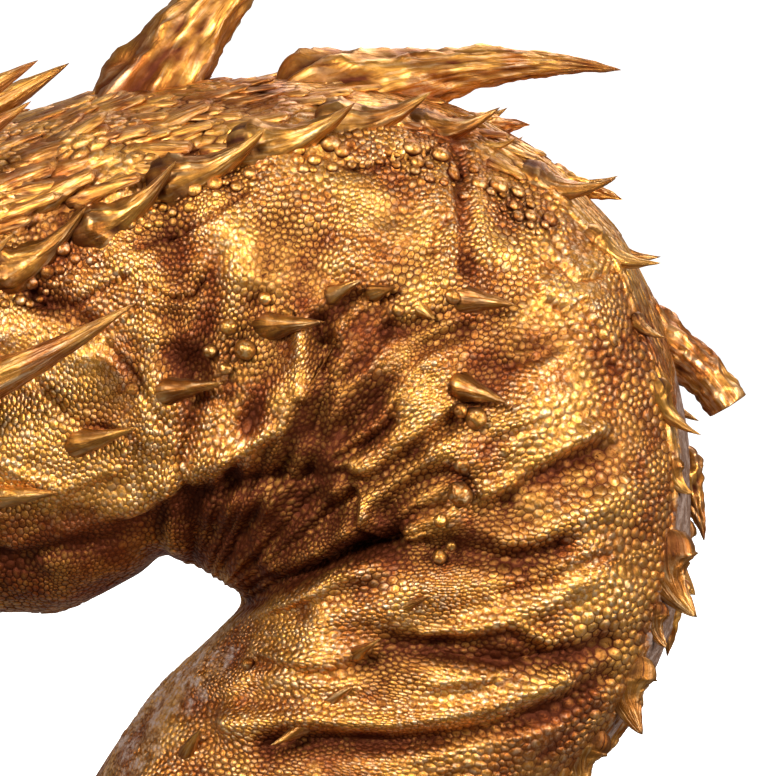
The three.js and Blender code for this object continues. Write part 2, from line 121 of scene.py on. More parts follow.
# Narrow creases and lips that only the skin shows.
CREASES = [
    (1.4, 1.6, -52, 113.6, -38.4, 120.2, -23, 132, -18.2, 134.6),
    (-1.7, 1.8, -64, 108, -53.5, 115.3, -42.6, 117.4, -25.6, 120.4),
    (-1.8, 1.7, -18.2, 123.3, -16.2, 127.2, -7, 132.6, 4.6, 135.3, 10, 134.9, 16.5, 136.3, 22, 138.5),
    (-1.8, 1.4, -7.5, 100.5, 3.8, 108.8, 19.2, 116.2, 33.6, 121.4, 41, 121.8),
    (-1.6, 1.6, -3.7, 118.5, -2.6, 110.8, -4.4, 106),
    (-2.4, 1.7, 23.4, 132, 24.5, 126.7, 27, 121.4),
    (1.7, 1.4, 25.4, 134, 27.4, 129.5, 25.8, 125.4, 29.4, 122.4),
    (-1.2, 1.2, 17, 138.8, 26.6, 145, 33.9, 150.6),
    (1.2, 1.5, -0.2, 94.5, 10.7, 93.6, 19, 92.8, 28, 96),
    (-1.6, 1.4, -0.2, 91.6, 10.7, 90.4, 19, 89.4, 28, 93),
    (-1.5, 1.2, 41, 163, 34.7, 154.5, 32.7, 149, 26.8, 144.8, 20.6, 141.5),
    (-1.9, 1.5, 46, 130.2, 39.8, 129.3, 35.9, 126.4, 33.8, 123.7),
    (-2.6, 2.2, 50, 138.5, 51, 136.5),
    (-2.6, 1.8, 12.3, 155, 10, 148.2, 7.5, 139.6),
    (-1.7, 1.6, 31, 179.5, 25.5, 174, 21.2, 168),
    (-1.5, 1.4, 33.5, 173.8, 28, 165.8, 22.4, 161),
    (-1.6, 1.4, 67.8, 150, 59, 146.6, 55.8, 143.2),
    (-1.3, 1.3, 74, 121.6, 61, 118.3),
    (1.6, 1.6, 41.3, 100, 53.4, 101.5, 61.2, 103.5, 70.8, 98),
    (-1.6, 1.5, 43, 97.6, 54, 98.6, 62, 100, 70, 95.6),
    (1.4, 1.8, 40.3, 70.3, 62.5, 75, 70.6, 76.7),
    (-1.6, 1.8, 70.4, 69, 82.2, 80),
    (-1.5, 1.2, 46.7, 199.2, 44.3, 196.4, 43, 191),
    (-1.3, 1.2, 63.7, 169, 70.5, 169.9, 76, 172.2),
    (-1.5, 1.3, 62, 164.8, 68.2, 166, 73.8, 169),
    (-2.0, 2.2, 33.2, 172.6, 42.9, 174.7, 50.8, 177.8),
    (-2.0, 1.8, 17, 174.6, 23, 180, 33.6, 182),
    (1.1, 1.8, 51, 218, 53.2, 205, 54.6, 190),
    (-1.2, 1.3, -34, 168, -27, 160, -22, 150),
    (-1.2, 1.4, -52, 160, -43, 150, -30, 146),
    (1.2, 1.8, -60, 140, -46, 134, -34, 138),
    (-1.3, 1.5, 58, 176, 66, 181, 71, 188),
    (-1.2, 1.4, 60, 110, 72, 113, 84, 118),
    (1.1, 1.6, 44, 88, 58, 90, 72, 94),
    (-1.2, 1.4, 10, 62, 30, 60, 52, 66),
]
# Brow, socket, cheekbone, jaw, lips and nostril.
HEAD_FOLDS = [
    (6.5, 6.0, -166, 183, -150, 193, -128, 200, -110, 204),
    (-5.0, 7.0, -152, 178, -140, 180),
    (5.0, 6.5, -176, 158, -152, 165, -126, 160, -106, 150),
    (-3.6, 7.0, -150, 149, -122, 142),
    (6.0, 14, -112, 124, -98, 134),
    (2.2, 3.4, -234, 151, -212, 151, -190, 153, -166, 148, -140, 139),
    (2.0, 3.6, -228, 138, -200, 137, -170, 131, -140, 119),
    (4.0, 6.0, -224, 161, -217, 163),
    (-2.4, 4.0, -208, 158, -190, 164, -174, 172),
    (-3.0, 1.5, -240, 148, -230, 146, -218, 144, -204, 145.5, -190, 147.5, -176, 144, -163, 139, -148, 132,
     -136, 128),
    (-4.0, 1.8, -228, 160, -225, 160),
]
# Edges of lapped skin: the side to the left of the line stands up, and a crack runs along it.
LAPS = [
    (1.0, -58, 188, -52.5, 182, -51.8, 179, -42, 178.5, -36, 182, -30, 185),
    (1.1, -25.4, 183, -19.7, 180, -13.7, 180.6, -11.8, 183.8),
    (1.1, -1.4, 204.7, -9.3, 198.7, -18.7, 195, -27, 192),
    (1.3, 11.2, 214.5, 17, 214.5, 22.3, 212, 27.5, 210.7, 32.4, 213, 39.8, 214, 44.5, 216.2, 43, 219),
    (1.1, 70.3, 202, 72.2, 197.7, 71.6, 194.4, 73.6, 191.3, 75, 190.3),
    (1.2, 73.5, 188, 77, 183.7, 81.6, 184.5, 86.7, 186.3),
    (1.2, 68.5, 183, 69, 179.6, 72.7, 178.3, 75.7, 176.3, 78.4, 178.6),
    (1.1, 79.6, 175.8, 82.6, 171.5, 83.6, 166.8, 86, 164, 88.8, 162.5),
    (1.6, 35, 122.4, 19.2, 117.4, 3.8, 110, -7.5, 101.8),
    (1.0, 46, 95, 62, 93, 78, 96),
]
# Spots where the brown wash lies thick and shade is painted (strength above 0), and where the gold is rubbed
# back and a highlight is painted (strength below 0): x, z and radius of each spot, and its strength.
WASH_AND_PAINTED_LIGHT_SPOTS = [
    (9, 156, 11, 1.1), (17, 150, 8, 0.6), (86, 131, 12, 0.3), (0, 194, 14, 0.35), (-39, 174, 14, -0.4),
    (-49, 151, 14, -0.5), (-19, 141, 12, -0.4), (49, 76, 12, -0.3), (98, 116, 11, -0.35),
    (10, 147, 12, 0.6), (22, 172, 9, 0.4), (-4, 124, 13, 0.7), (19, 127, 10, 0.6), (37, 131, 9, 0.45),
    (-42, 108, 15, 0.6), (-47, 119, 8, 0.4), (-19, 125, 9, 0.5), (-43, 195, 9, 0.55), (-25, 200, 8, 0.45),
    (-8, 204, 6, 0.35), (42, 143, 8, 0.5), (46, 172, 6, 0.5), (60, 96, 9, 0.4), (-14, 166, 5, 0.6),
    (-46, 177, 6, 0.6), (73, 92, 8, 0.5), (62, 148, 6, 0.3), (53, 145, 5, 0.4), (66, 72, 8, 0.4),
    (20, 63, 10, 0.35), (55, 118, 8, 0.35), (52, 186, 4, 0.5), (-62, 128, 8, 0.35), (34, 90, 7, 0.3),
    (28, 158, 7, 0.4), (-30, 136, 6, 0.3),
    (4, 190, 12, 0.3), (28, 200, 12, -0.5), (43, 203, 8, -0.4), (70, 183, 11, -0.5), (83, 154, 8, -0.6),
    (-16, 146, 8, -0.5), (-27, 138, 6, -0.5), (-50, 166, 12, -0.45), (5, 158, 5, -0.5), (50, 110, 8, -0.5),
    (74, 112, 7, -0.35), (44, 80, 9, -0.5), (18, 79, 8, -0.5), (88, 135, 7, -0.4), (64, 84, 7, -0.4),
    (-58, 186, 7, -0.4), (76, 200, 7, -0.3), (0, 186, 8, 0.3), (62, 152, 5, -0.4), (-34, 184, 7, -0.3),
]
# Where wrinkles take the place of scales: x, z and radius on the side view.
WRINKLED = [(34, 156, 20), (11, 140, 17), (-36, 121, 14), (45, 70, 15), (20, 96, 13)]


def srgb(colour: str) -> tuple[float, float, float, float]:
    """Turns an sRGB hex colour to linear.

    Args:
        colour: Six hex digits.

    Returns:
        Linear red, green, blue and alpha.
    """
    parts = [int(colour[i:i + 2], 16) / 255 for i in (0, 2, 4)]
    return (*(c / 12.92 if c <= 0.04045 else ((c + 0.055) / 1.055) ** 2.4 for c in parts), 1.0)


def smooth(x: np.ndarray, low: float, high: float) -> np.ndarray:
    """Smooth step from 0 at low to 1 at high."""
    t = np.clip((x - low) / (high - low), 0, 1)
    return t * t * (3 - 2 * t)


def unit(v: np.ndarray) -> np.ndarray:
    """Vectors scaled to length 1."""
    return v / np.maximum(np.linalg.norm(v, axis=-1, keepdims=True), 1e-12)


def lengths(line: np.ndarray) -> np.ndarray:
    """Length along a line of points, from its start to each of them."""
    return np.concatenate([[0], np.cumsum(np.linalg.norm(np.diff(line, axis=0), axis=1))])


def waves(points: np.ndarray, length: float, seed: int, count: int = 14) -> np.ndarray:
    """Smooth random field, made of plane waves.

    Args:
        points: One row for each point, in millimetres.
        length: Typical wavelength.
        seed: Seed of the waves.
        count: Number of waves.

    Returns:
        About -1 to 1 for each point.
    """
    rng = np.random.default_rng(seed)
    turn = unit(rng.normal(size=(count, points.shape[1]))) * rng.uniform(0.6, 1.5, (count, 1))
    phase = rng.uniform(0, 2 * math.pi, count)
    return np.sin(points @ turn.T * (2 * math.pi / length) + phase).sum(axis=1) / math.sqrt(count)


@dataclass
class Form:
    """The shape of the neck and head, in millimetres."""

    squareness: float = 2.25
    fold_gain: float = 1.4  # the skin's folds are a little deeper than the frame's
    jaw_taper: float = 0.16
    roof_taper: float = 0.1
    fold_spread: float = 0.6
    base_fade: float = 12
    head_fade: float = 4  # stations over which the head's section takes over from the neck's
    lap_reach: float = 7  # how far behind its edge the lapped skin stands up
    crack: float = 0.8  # half width of the crack along the edge
    crack_depth: float = 1.1
    lump: float = 0.9  # height of the hand-modelled unevenness
    lump_length: float = 30
    dent: float = 0.45  # height of the smaller unevenness, as a share of that
    dent_length: float = 12
    wrinkle: float = 1.35  # height of the fine wrinkles that fan out from the bend
    wrinkle_length: float = 9
    wrinkle_back: float = 0.35  # share of that height that is left near the back

    def column(self, k: int, station: np.ndarray) -> np.ndarray:
        """Value of one column of the station table, by a Catmull-Rom curve."""
        rows = STATIONS[:, k]
        i = np.clip(np.floor(station).astype(int), 0, LAST_STATION - 1)
        t = station - i
        p0 = rows[np.maximum(i - 1, 0)]
        p1 = rows[i]
        p2 = rows[i + 1]
        p3 = rows[np.minimum(i + 2, LAST_STATION)]
        v0 = (p2 - p0) / 2
        v1 = (p3 - p1) / 2
        return (2 * p1 - 2 * p2 + v0 + v1) * t**3 + (3 * p2 - 3 * p1 - 2 * v0 - v1) * t**2 + v0 * t + p1

    def back(self, station: np.ndarray) -> np.ndarray:
        """Points of the back line."""
        return np.stack([self.column(BACK_X, station), 0 * station, self.column(BACK_Z, station)], axis=1)

    def throat(self, station: np.ndarray) -> np.ndarray:
        """Points of the throat line."""
        return np.stack([self.column(THROAT_X, station), 0 * station, self.column(THROAT_Z, station)], axis=1)

    def ridge(self, station: float) -> float:
        """Degrees from the back to the ridge of thorns."""
        return float(self.column(RIDGE, np.array([station]))[0])

    @staticmethod
    def line_distance(x: np.ndarray, z: np.ndarray, line: tuple) -> tuple[np.ndarray, np.ndarray]:
        """Distance from a line on the side view, and the side of it that each point is on.

        Args:
            x: Side view x of each point.
            z: Side view z of each point.
            line: x and z of the line's points, in turn.

        Returns:
            The distances, and 1 for the left of the line or -1 for its right.
        """
        nearest = np.full(x.shape, np.inf)
        left = np.ones(x.shape)
        for ax, az, bx, bz in zip(line[0:-2:2], line[1:-2:2], line[2::2], line[3::2]):
            dx = bx - ax
            dz = bz - az
            along = np.clip(((x - ax) * dx + (z - az) * dz) / (dx * dx + dz * dz), 0, 1)
            away = np.hypot(x - ax - along * dx, z - az - along * dz)
            closer = away < nearest
            nearest = np.where(closer, away, nearest)
            left = np.where(closer, np.sign(dx * (z - az) - dz * (x - ax)), left)
        return nearest, left

    def fold_height(self, folds: list, x: np.ndarray, z: np.ndarray) -> np.ndarray:
        """Height that the folds give each point of the side view."""
        height = np.zeros(x.shape)
        for depth, width, *line in folds:
            away, _ = self.line_distance(x, z, tuple(line))
            height += depth * np.exp(-((away / width) ** 2))
        return height

    def lap_height(self, x: np.ndarray, z: np.ndarray) -> np.ndarray:
        """Height of the lapped skin and its cracks at each point of the side view."""
        height = np.zeros(x.shape)
        for depth, *line in LAPS:
            away, left = self.line_distance(x, z, tuple(line))
            stood = np.where(left > 0, depth * np.exp(-away / self.lap_reach), 0)
            height += stood * smooth(away, 0, self.crack)
            height -= self.crack_depth * depth * np.exp(-((away / self.crack) ** 2))
        return height

    @staticmethod
    def wash_and_painted_light(x: np.ndarray, z: np.ndarray) -> np.ndarray:
        """How thick the wash and painted shade lie at each point of the side view, below 0 where the wash is
        rubbed back and a highlight is painted.
        """
        thick = np.zeros(x.shape)
        for sx, sz, radius, strength in WASH_AND_PAINTED_LIGHT_SPOTS:
            thick += strength * np.exp(-((x - sx) ** 2 + (z - sz) ** 2) / radius**2)
        return thick

    @staticmethod
    def wrinkled(point: np.ndarray) -> np.ndarray:
        """Share by which fine wrinkles take the place of scales, inside the bend."""
        share = np.zeros(len(point))
        for x, z, radius in WRINKLED:
            share = np.maximum(share, np.exp(-((point[:, 0] - x) ** 2 + (point[:, 2] - z) ** 2) / radius**2))
        return share

    def skin(self, station: np.ndarray, angle: np.ndarray, bare: bool = False
             ) -> tuple[np.ndarray, np.ndarray]:
        """Points of the skin.

        Args:
            station: Place along the body.
            angle: Radians round it from the back, positive towards -Y.
            bare: True leaves out what the frame doesn't have.

        Returns:
            The points, and the height that the folds gave each one.
        """
        back = self.back(station)
        throat = self.throat(station)
        up = unit(back - throat)
        half = np.linalg.norm(back - throat, axis=1, keepdims=True) / 2
        power = 2 / self.squareness
        c = np.sign(np.cos(angle)) * np.abs(np.cos(angle)) ** power
        s = np.sign(np.sin(angle)) * np.abs(np.sin(angle)) ** power
        down = (1 - c) / 2
        head = smooth(station, HEAD_STATION, HEAD_STATION + self.head_fade)
        jaw = 1 - self.jaw_taper * head * smooth(down, 0.5, 0.75)
        roof = 1 - self.roof_taper * head * (1 - smooth(down, 0.05, 0.35))
        point = (back + throat) / 2 + up * half * c[:, None]
        point[:, 1] -= self.column(HALF_WIDTH, station) * s * jaw * roof
        side = np.abs(np.sin(angle)) ** self.fold_spread
        above = smooth(point[:, 2], 0, self.base_fade)
        x = point[:, 0]
        z = point[:, 2]
        on_neck = station < HEAD_STATION
        height = np.where(on_neck, self.fold_height(FOLDS, x, z), self.fold_height(HEAD_FOLDS, x, z))
        if not bare:
            height = height * self.fold_gain
            height = height + np.where(on_neck, self.lap_height(x, z) + self.fold_height(CREASES, x, z), 0)
            height = height + self.lump * waves(point, self.lump_length, 3)
            height = height + self.dent * self.lump * waves(point, self.dent_length, 4)
            fan = smooth(station, 3, 5.5) * (1 - smooth(station, 12, 14.5))
            low = smooth(np.abs(angle), 45 * DEGREE, 100 * DEGREE)
            across = np.stack([station * 13, np.abs(angle) * 7], axis=1)
            ridges = waves(across, self.wrinkle_length, 5)
            share = self.wrinkle_back + (1 - self.wrinkle_back) * low
            height = height + self.wrinkle * fan * share * ridges
        height = height * side * above
        out = unit(np.stack([up[:, 0] * c, -s, up[:, 2] * c], axis=1))
        return point + out * height[:, None], height

    def normals(self, station: np.ndarray, angle: np.ndarray, step: float = 0.04) -> np.ndarray:
        """Unit vectors out of the skin."""
        ahead, _ = self.skin(np.minimum(station + step, LAST_STATION), angle)
        behind, _ = self.skin(np.maximum(station - step, 0), angle)
        after, _ = self.skin(station, angle + step)
        before, _ = self.skin(station, angle - step)
        return unit(np.cross(after - before, behind - ahead))

    def place(self, station: float, degrees: float) -> tuple[np.ndarray, np.ndarray, np.ndarray]:
        """A point of the frame's skin, with unit vectors along the body away from the head, and out of it."""
        s = np.array([station, max(station - 0.05, 0), station + 0.05, station, station])
        a = np.array([0, 0, 0, 0.05, -0.05]) + degrees * DEGREE
        p, _ = self.skin(s, a, bare=True)
        backwards = unit(p[1] - p[2])
        out = unit(np.cross(p[3] - p[4], backwards))
        return p[0], backwards, out


FORM = Form()


def take_apart(model: bpy.types.Object) -> tuple[np.ndarray, np.ndarray]:
    """Vertices and triangles of a modelled object, which is then deleted."""
    mesh = model.data
    mesh.calc_loop_triangles()
    points = np.array([v.co for v in mesh.vertices])
    faces = np.array([f.vertices for f in mesh.loop_triangles])
    bpy.data.objects.remove(model)
    bpy.data.meshes.remove(mesh)
    return points, faces


def add_mesh(name: str, points: np.ndarray, faces: np.ndarray, tones: np.ndarray, grain: np.ndarray,
             material: bpy.types.Material) -> bpy.types.Object:
    """Makes a piece that rides on the body, from points in millimetres.

    Args:
        name: Name of the piece.
        points: One row for each vertex.
        faces: Triangles, as rows of vertex numbers.
        tones: How raised each vertex is, its fold, with the spots of wash, painted shade and painted
            highlight, its scale's own tone and, where given, how bare it is, which low on the throat paints a
            reflected sheen.
        grain: Where each vertex lies in the grain of its surface, in millimetres.
        material: Its finish.

    Returns:
        The piece.
    """
    mesh = bpy.data.meshes.new(name)
    mesh.from_pydata((points * MM).tolist(), [], faces.tolist())
    mesh.validate()
    mesh.materials.append(material)
    mesh.shade_smooth()
    piece = bpy.data.objects.new(name, mesh)
    bpy.context.collection.objects.link(piece)
    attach(piece, BODY)
    wear = np.zeros((len(points), 4), dtype=np.float32)
    wear[:, :tones.shape[1]] = tones
    mesh.color_attributes.new("wear", "FLOAT_COLOR", "POINT").data.foreach_set("color", wear.ravel())
    lie = mesh.attributes.new("grain", "FLOAT_VECTOR", "POINT")
    lie.data.foreach_set("vector", grain.astype(np.float32).ravel())
    LOG.info("%s: %d triangles", name, len(mesh.polygons))
    return piece


@dataclass
class ScaledSkin:
    """A stretch of skin covered in pebble scales, closed inside the body.

    Each scale is a cell round a sample point: a groove, a rim and a raised middle.
    """

    name: str
    stations: tuple[float, float]
    degrees: tuple[float, float]
    spacing: float  # millimetres between scales
    seed: int
    relief: float = 0.31
    stretch: float = 1.0  # how much longer the scales are along the body than across
    lift: float = 0.0  # height of the whole stretch, which sinks back at its borders
    sink: float = 0.0
    far: bool = False
    band: bool = False  # reaches over the back, from one ridge to the other
    seen: bool = False  # finer scales where the near side shows best
    counts: tuple = field(init=False, default=())  # samples on each of the four borders
    rim: list = field(init=False, default_factory=list)  # vertices round the whole border

    UNEVEN = 0.16  # how much the size of the scales varies over the skin
    BESIDE = 0.35  # how much larger they are beside the ridge
    BESIDE_WIDTH = 7 * DEGREE
    BACK_SIZE = 0.7  # how much larger they are over the bend's back
    HIDDEN_SIZE = 0.5  # how much larger they are where they hardly show
    LEAST_SIZE = 0.7
    ROWS = 260  # steps along and round in which the skin's area is measured
    COLUMNS = 120
    TABLE = 200  # steps in which the back line is measured
    PACKING = 0.866  # area that a scale takes up, over its spacing squared
    TRIES = 9  # places tried for each scale
    GAP = 0.78
    SIZES = (0.8, 1, 1.35)  # small, middling and large scales
    SIZE_SHARES = (0.45, 0.43, 0.12)
    BORDER_GAP = 0.6
    BORDER_STEP = 0.95
    EVEN_OUT = 0.55
    TINY = 0.001  # keeps the band's two halves apart when its scales are spaced
    INSET = 0.8  # how far out in its cell a scale's rim lies
    RIM_HEIGHT = 0.95
    SUNK = 0.55  # share of the relief that lies below the skin
    RIM_TONE = 0.72
    WORN_TONE = 0.42
    # weight of the spots of wash, painted shade and painted highlight in the fold tone
    WASH_AND_PAINTED_LIGHT_TONE = 2.6
    MEAN_TONE = 0.5
    STATION_MM = 14  # about how long a station is
    ROUND_MM = 400  # about how far round a stretch reaches, and the band
    BAND_MM = 90
    BORDER_FADE = 5
    KEEL = 0.02  # how far the band's closing sheet stays off the throat
    KEEL_STEPS = 40

    def local_spacing(self, station: np.ndarray, angle: np.ndarray, point: np.ndarray) -> np.ndarray:
        """Distance between scales at each point, in millimetres."""
        size = self.spacing * (1 + self.UNEVEN * waves(point, 26, 11))
        ridge = FORM.column(RIDGE, station) * DEGREE
        beside = np.exp(-((np.abs(np.abs(angle) - ridge) / self.BESIDE_WIDTH) ** 2))
        size = size * (1 + self.BESIDE * beside * (station < HEAD_STATION))
        if self.seen:
            back = smooth(station, 10.5, 6.5) * (1 - smooth(np.abs(angle), 50 * DEGREE, 85 * DEGREE))
            size = size * (1 + self.BACK_SIZE * back)
            hidden = np.maximum(smooth(point[:, 2], 60, 40), smooth(point[:, 0], -65, -80))
            throat = smooth(np.abs(angle), 145 * DEGREE, 170 * DEGREE)
            size = size * (1 + self.HIDDEN_SIZE * np.maximum(hidden, throat))
        return np.maximum(size, self.LEAST_SIZE * self.spacing)

    def corner_angle(self, station: np.ndarray, share: np.ndarray) -> np.ndarray:
        """Angle at a share of the way round, from the stretch's first border to its second."""
        if self.band:
            return (2 * share - 1) * ((FORM.column(RIDGE, station) + self.degrees[1]) * DEGREE)
        low, high = (d * DEGREE for d in self.degrees)
        first = np.where(low < 0, FORM.column(RIDGE, station) * DEGREE + low, low)
        return first + share * (high - first)

    def scatter(self) -> tuple[np.ndarray, np.ndarray, int]:
        """Samples the stretch at its spacing.

        Returns:
            Station and share round of each sample, with the border loop first, and the loop's length.
        """
        rng = np.random.default_rng(self.seed)
        s0, s1 = self.stations
        s = np.repeat((np.arange(self.ROWS) + 0.5) / self.ROWS * (s1 - s0) + s0, self.COLUMNS)
        u = np.tile((np.arange(self.COLUMNS) + 0.5) / self.COLUMNS, self.ROWS)
        p, _ = FORM.skin(s, self.corner_angle(s, u), bare=True)
        grid = p.reshape(self.ROWS, self.COLUMNS, 3)
        area = np.linalg.norm(np.cross(np.gradient(grid, axis=0), np.gradient(grid, axis=1)), axis=2).ravel()
        size = self.local_spacing(s, self.corner_angle(s, u), p)
        weight = area / size**2 / self.stretch
        loop_s, loop_u = self.border()
        total = int(weight.sum() / self.PACKING)
        pick = rng.choice(len(weight), size=total * self.TRIES, p=weight / weight.sum())
        cs = s[pick] + rng.uniform(-0.5, 0.5, len(pick)) * (s1 - s0) / self.ROWS
        cu = u[pick] + rng.uniform(-0.5, 0.5, len(pick)) / self.COLUMNS
        gap = size[pick] * self.GAP * rng.choice(self.SIZES, size=len(pick), p=self.SIZE_SHARES)
        border = self.flatten(loop_s, loop_u)
        kept = self.thin(self.flatten(cs, cu), gap, border, self.spacing * self.BORDER_GAP)
        stations = np.concatenate([loop_s, cs[kept]])
        shares = np.concatenate([loop_u, cu[kept]])
        return stations, shares, len(loop_s)

    def travelled(self, station: np.ndarray) -> np.ndarray:
        """Length along the middle of the back, from the stretch's start to each station."""
        table = np.linspace(*self.stations, self.TABLE)
        edge, _ = FORM.skin(table, 0 * table, bare=True)
        return np.interp(station, table, lengths(edge))

    def flatten(self, station: np.ndarray, share: np.ndarray) -> np.ndarray:
        """Points of the skin, with the way along the body shortened, so that long scales measure as round."""
        point, _ = FORM.skin(station, self.corner_angle(station, share), bare=True)
        if self.stretch == 1:
            return point
        tiny = (share - 0.5) * self.TINY
        return np.stack([self.travelled(station) / self.stretch, point[:, 1], tiny], axis=1)

    def border(self) -> tuple[np.ndarray, np.ndarray]:
        """Samples along the four borders, in order round them."""
        s0, s1 = self.stations
        ramp = np.linspace(0, 1, 400)

        def spaced(station: np.ndarray, share: np.ndarray, stretch: float) -> np.ndarray:
            """Shares along a line on the skin, one for each scale."""
            line, _ = FORM.skin(station, self.corner_angle(station, share), bare=True)
            length = lengths(line)
            count = max(int(length[-1] / (self.BORDER_STEP * self.spacing * stretch)), 4)
            return np.interp(np.linspace(0, length[-1], count + 1), length, ramp)

        first = spaced(s0 + ramp * (s1 - s0), 0 * ramp, self.stretch)[:-1]
        end = spaced(0 * ramp + s1, ramp, 1)[:-1]
        second = spaced(s0 + ramp * (s1 - s0), 0 * ramp + 1, self.stretch)[:0:-1]
        start = spaced(0 * ramp + s0, ramp, 1)[:0:-1]
        s = np.concatenate([s0 + first * (s1 - s0), 0 * end + s1, s0 + second * (s1 - s0), 0 * start + s0])
        u = np.concatenate([0 * first, end, 0 * second + 1, start])
        self.counts = (len(first), len(end), len(second), len(start))
        return s, u

    @staticmethod
    def thin(points: np.ndarray, gap: np.ndarray, fixed: np.ndarray, margin: float) -> np.ndarray:
        """Picks points in turn that keep their gap from those picked before.

        Args:
            points: Candidates.
            gap: The gap that each one keeps.
            fixed: Points that are already there.
            margin: The gap to keep from those.

        Returns:
            The numbers of the points picked.
        """
        cell = float(gap.max())
        boxes: dict = {}
        for p in fixed.tolist():
            boxes.setdefault(tuple(int(c // cell) for c in p), []).append((*p, margin))
        kept = []
        keys = np.floor(points / cell).astype(int).tolist()
        near = [(i, j, k) for i in (-1, 0, 1) for j in (-1, 0, 1) for k in (-1, 0, 1)]
        for n, ((x, y, z), (i, j, k), g) in enumerate(zip(points.tolist(), keys, gap.tolist())):
            free = True
            for di, dj, dk in near:
                for px, py, pz, pg in boxes.get((i + di, j + dj, k + dk), ()):
                    reach = max(g, pg) if pg != margin else margin
                    if (x - px) ** 2 + (y - py) ** 2 + (z - pz) ** 2 < reach * reach:
                        free = False
                        break
                if not free:
                    break
            if free:
                boxes.setdefault((i, j, k), []).append((x, y, z, g))
                kept.append(n)
        return np.array(kept)

    def chart(self, station: np.ndarray, share: np.ndarray) -> np.ndarray:
        """Flat place of each sample: between the throat line and the back line of the side view."""
        if self.band:
            return np.stack([self.travelled(station) / self.stretch, share * 60], axis=1)
        w = (1 - self.corner_angle(station, share) / math.pi)[:, None]
        return (FORM.throat(station) * (1 - w) + FORM.back(station) * w)[:, [0, 2]]

    def build(self, material: bpy.types.Material) -> bpy.types.Object:
        """Makes the stretch as one closed mesh."""
        station, share, loop = self.scatter()
        flat = self.chart(station, share)
        edges = [(i, (i + 1) % loop) for i in range(loop)]
        made = delaunay_2d_cdt([Vector(p) for p in flat], edges, [], 1, 1e-7)
        tri = np.array(made[2])
        if len(made[0]) != len(flat):
            LOG.info("%s: samples merged, %d to %d", self.name, len(flat), len(made[0]))
            origin = np.array([ids[0] if ids else 0 for ids in made[3]])
            tri = origin[tri]
        a, b, c = (flat[tri[:, k]] for k in range(3))
        turn = (b[:, 0] - a[:, 0]) * (c[:, 1] - a[:, 1]) - (b[:, 1] - a[:, 1]) * (c[:, 0] - a[:, 0])
        tri = tri[np.abs(turn) > 1e-9]
        turn = turn[np.abs(turn) > 1e-9]
        tri[turn < 0] = tri[turn < 0][:, ::-1]
        # Even out the samples once, without the border
        inner = np.arange(len(station)) >= loop
        pairs = np.concatenate([tri[:, [0, 1]], tri[:, [1, 2]], tri[:, [2, 0]]])
        for values in (station, share):
            total = np.bincount(pairs[:, 0], values[pairs[:, 1]], len(values))
            count = np.bincount(pairs[:, 0], minlength=len(values))
            values[inner] += self.EVEN_OUT * (total / np.maximum(count, 1) - values)[inner]
        points, tone, faces = self.cells(station, share, tri, loop)
        if self.far:
            points[:, 1] *= -1
            faces = faces[:, ::-1]
        piece = add_mesh(self.name, points, faces, tone, points, material)
        self.sharpen(piece)
        return piece

    def sharpen(self, piece: bpy.types.Object) -> None:
        """Marks the edges between the skin and its closing sheet as sharp."""
        mesh = piece.data
        pairs = np.zeros(2 * len(mesh.edges), dtype=np.int32)
        mesh.edges.foreach_get("vertices", pairs)
        pairs = pairs.reshape(-1, 2)
        rim = np.zeros(len(mesh.vertices), dtype=bool)
        rim[self.rim] = True
        sharp = mesh.attributes.new("sharp_edge", "BOOLEAN", "EDGE")
        sharp.data.foreach_set("value", rim[pairs].all(axis=1))

    def cells(self, station: np.ndarray, share: np.ndarray, tri: np.ndarray, loop: int
              ) -> tuple[np.ndarray, np.ndarray, np.ndarray]:
        """Turns a triangulation of the samples into scales, and closes it inside the body.

        Args:
            station: Station of each sample.
            share: Share round of each sample.
            tri: The triangles, by sample.
            loop: Number of samples in the border loop, which come first.

        Returns:
            The vertices, four tones for each, and the triangles.
        """
        rng = np.random.default_rng(self.seed + 1)
        count = len(station)
        triangles = len(tri)
        corner_v = tri.ravel()
        corner_t = np.repeat(np.arange(triangles), 3)
        after = (np.arange(loop) + 1) % loop

        def inset(values: np.ndarray, middles: np.ndarray) -> np.ndarray:
            """Values at the rim of a scale."""
            return values + self.INSET * (middles - values)

        def every(values: np.ndarray) -> np.ndarray:
            """Values at every vertex: scales, cell corners and rims, then the same along the border."""
            corner = values[tri].mean(axis=1)
            edge = (values[:loop] + values[after]) / 2
            return np.concatenate([values, corner, inset(values[corner_v], corner[corner_t]), edge,
                                   inset(values[:loop], edge), inset(values[after], edge)])

        def spread(scale: np.ndarray, rim: np.ndarray, groove: float) -> np.ndarray:
            """Values at every vertex, from those of each scale and its rim and of the grooves."""
            return np.concatenate([scale, np.full(triangles, groove), rim[corner_v], np.full(loop, groove),
                                   rim[:loop], rim[after]])

        every_s = every(station)
        every_u = every(share)
        angle = self.corner_angle(every_s, every_u)
        base, fold = FORM.skin(every_s, angle)
        out = FORM.normals(every_s, angle)
        first_t = count
        first_r = count + triangles
        first_m = first_r + 3 * triangles
        first_b1 = first_m + loop
        first_b2 = first_b1 + loop
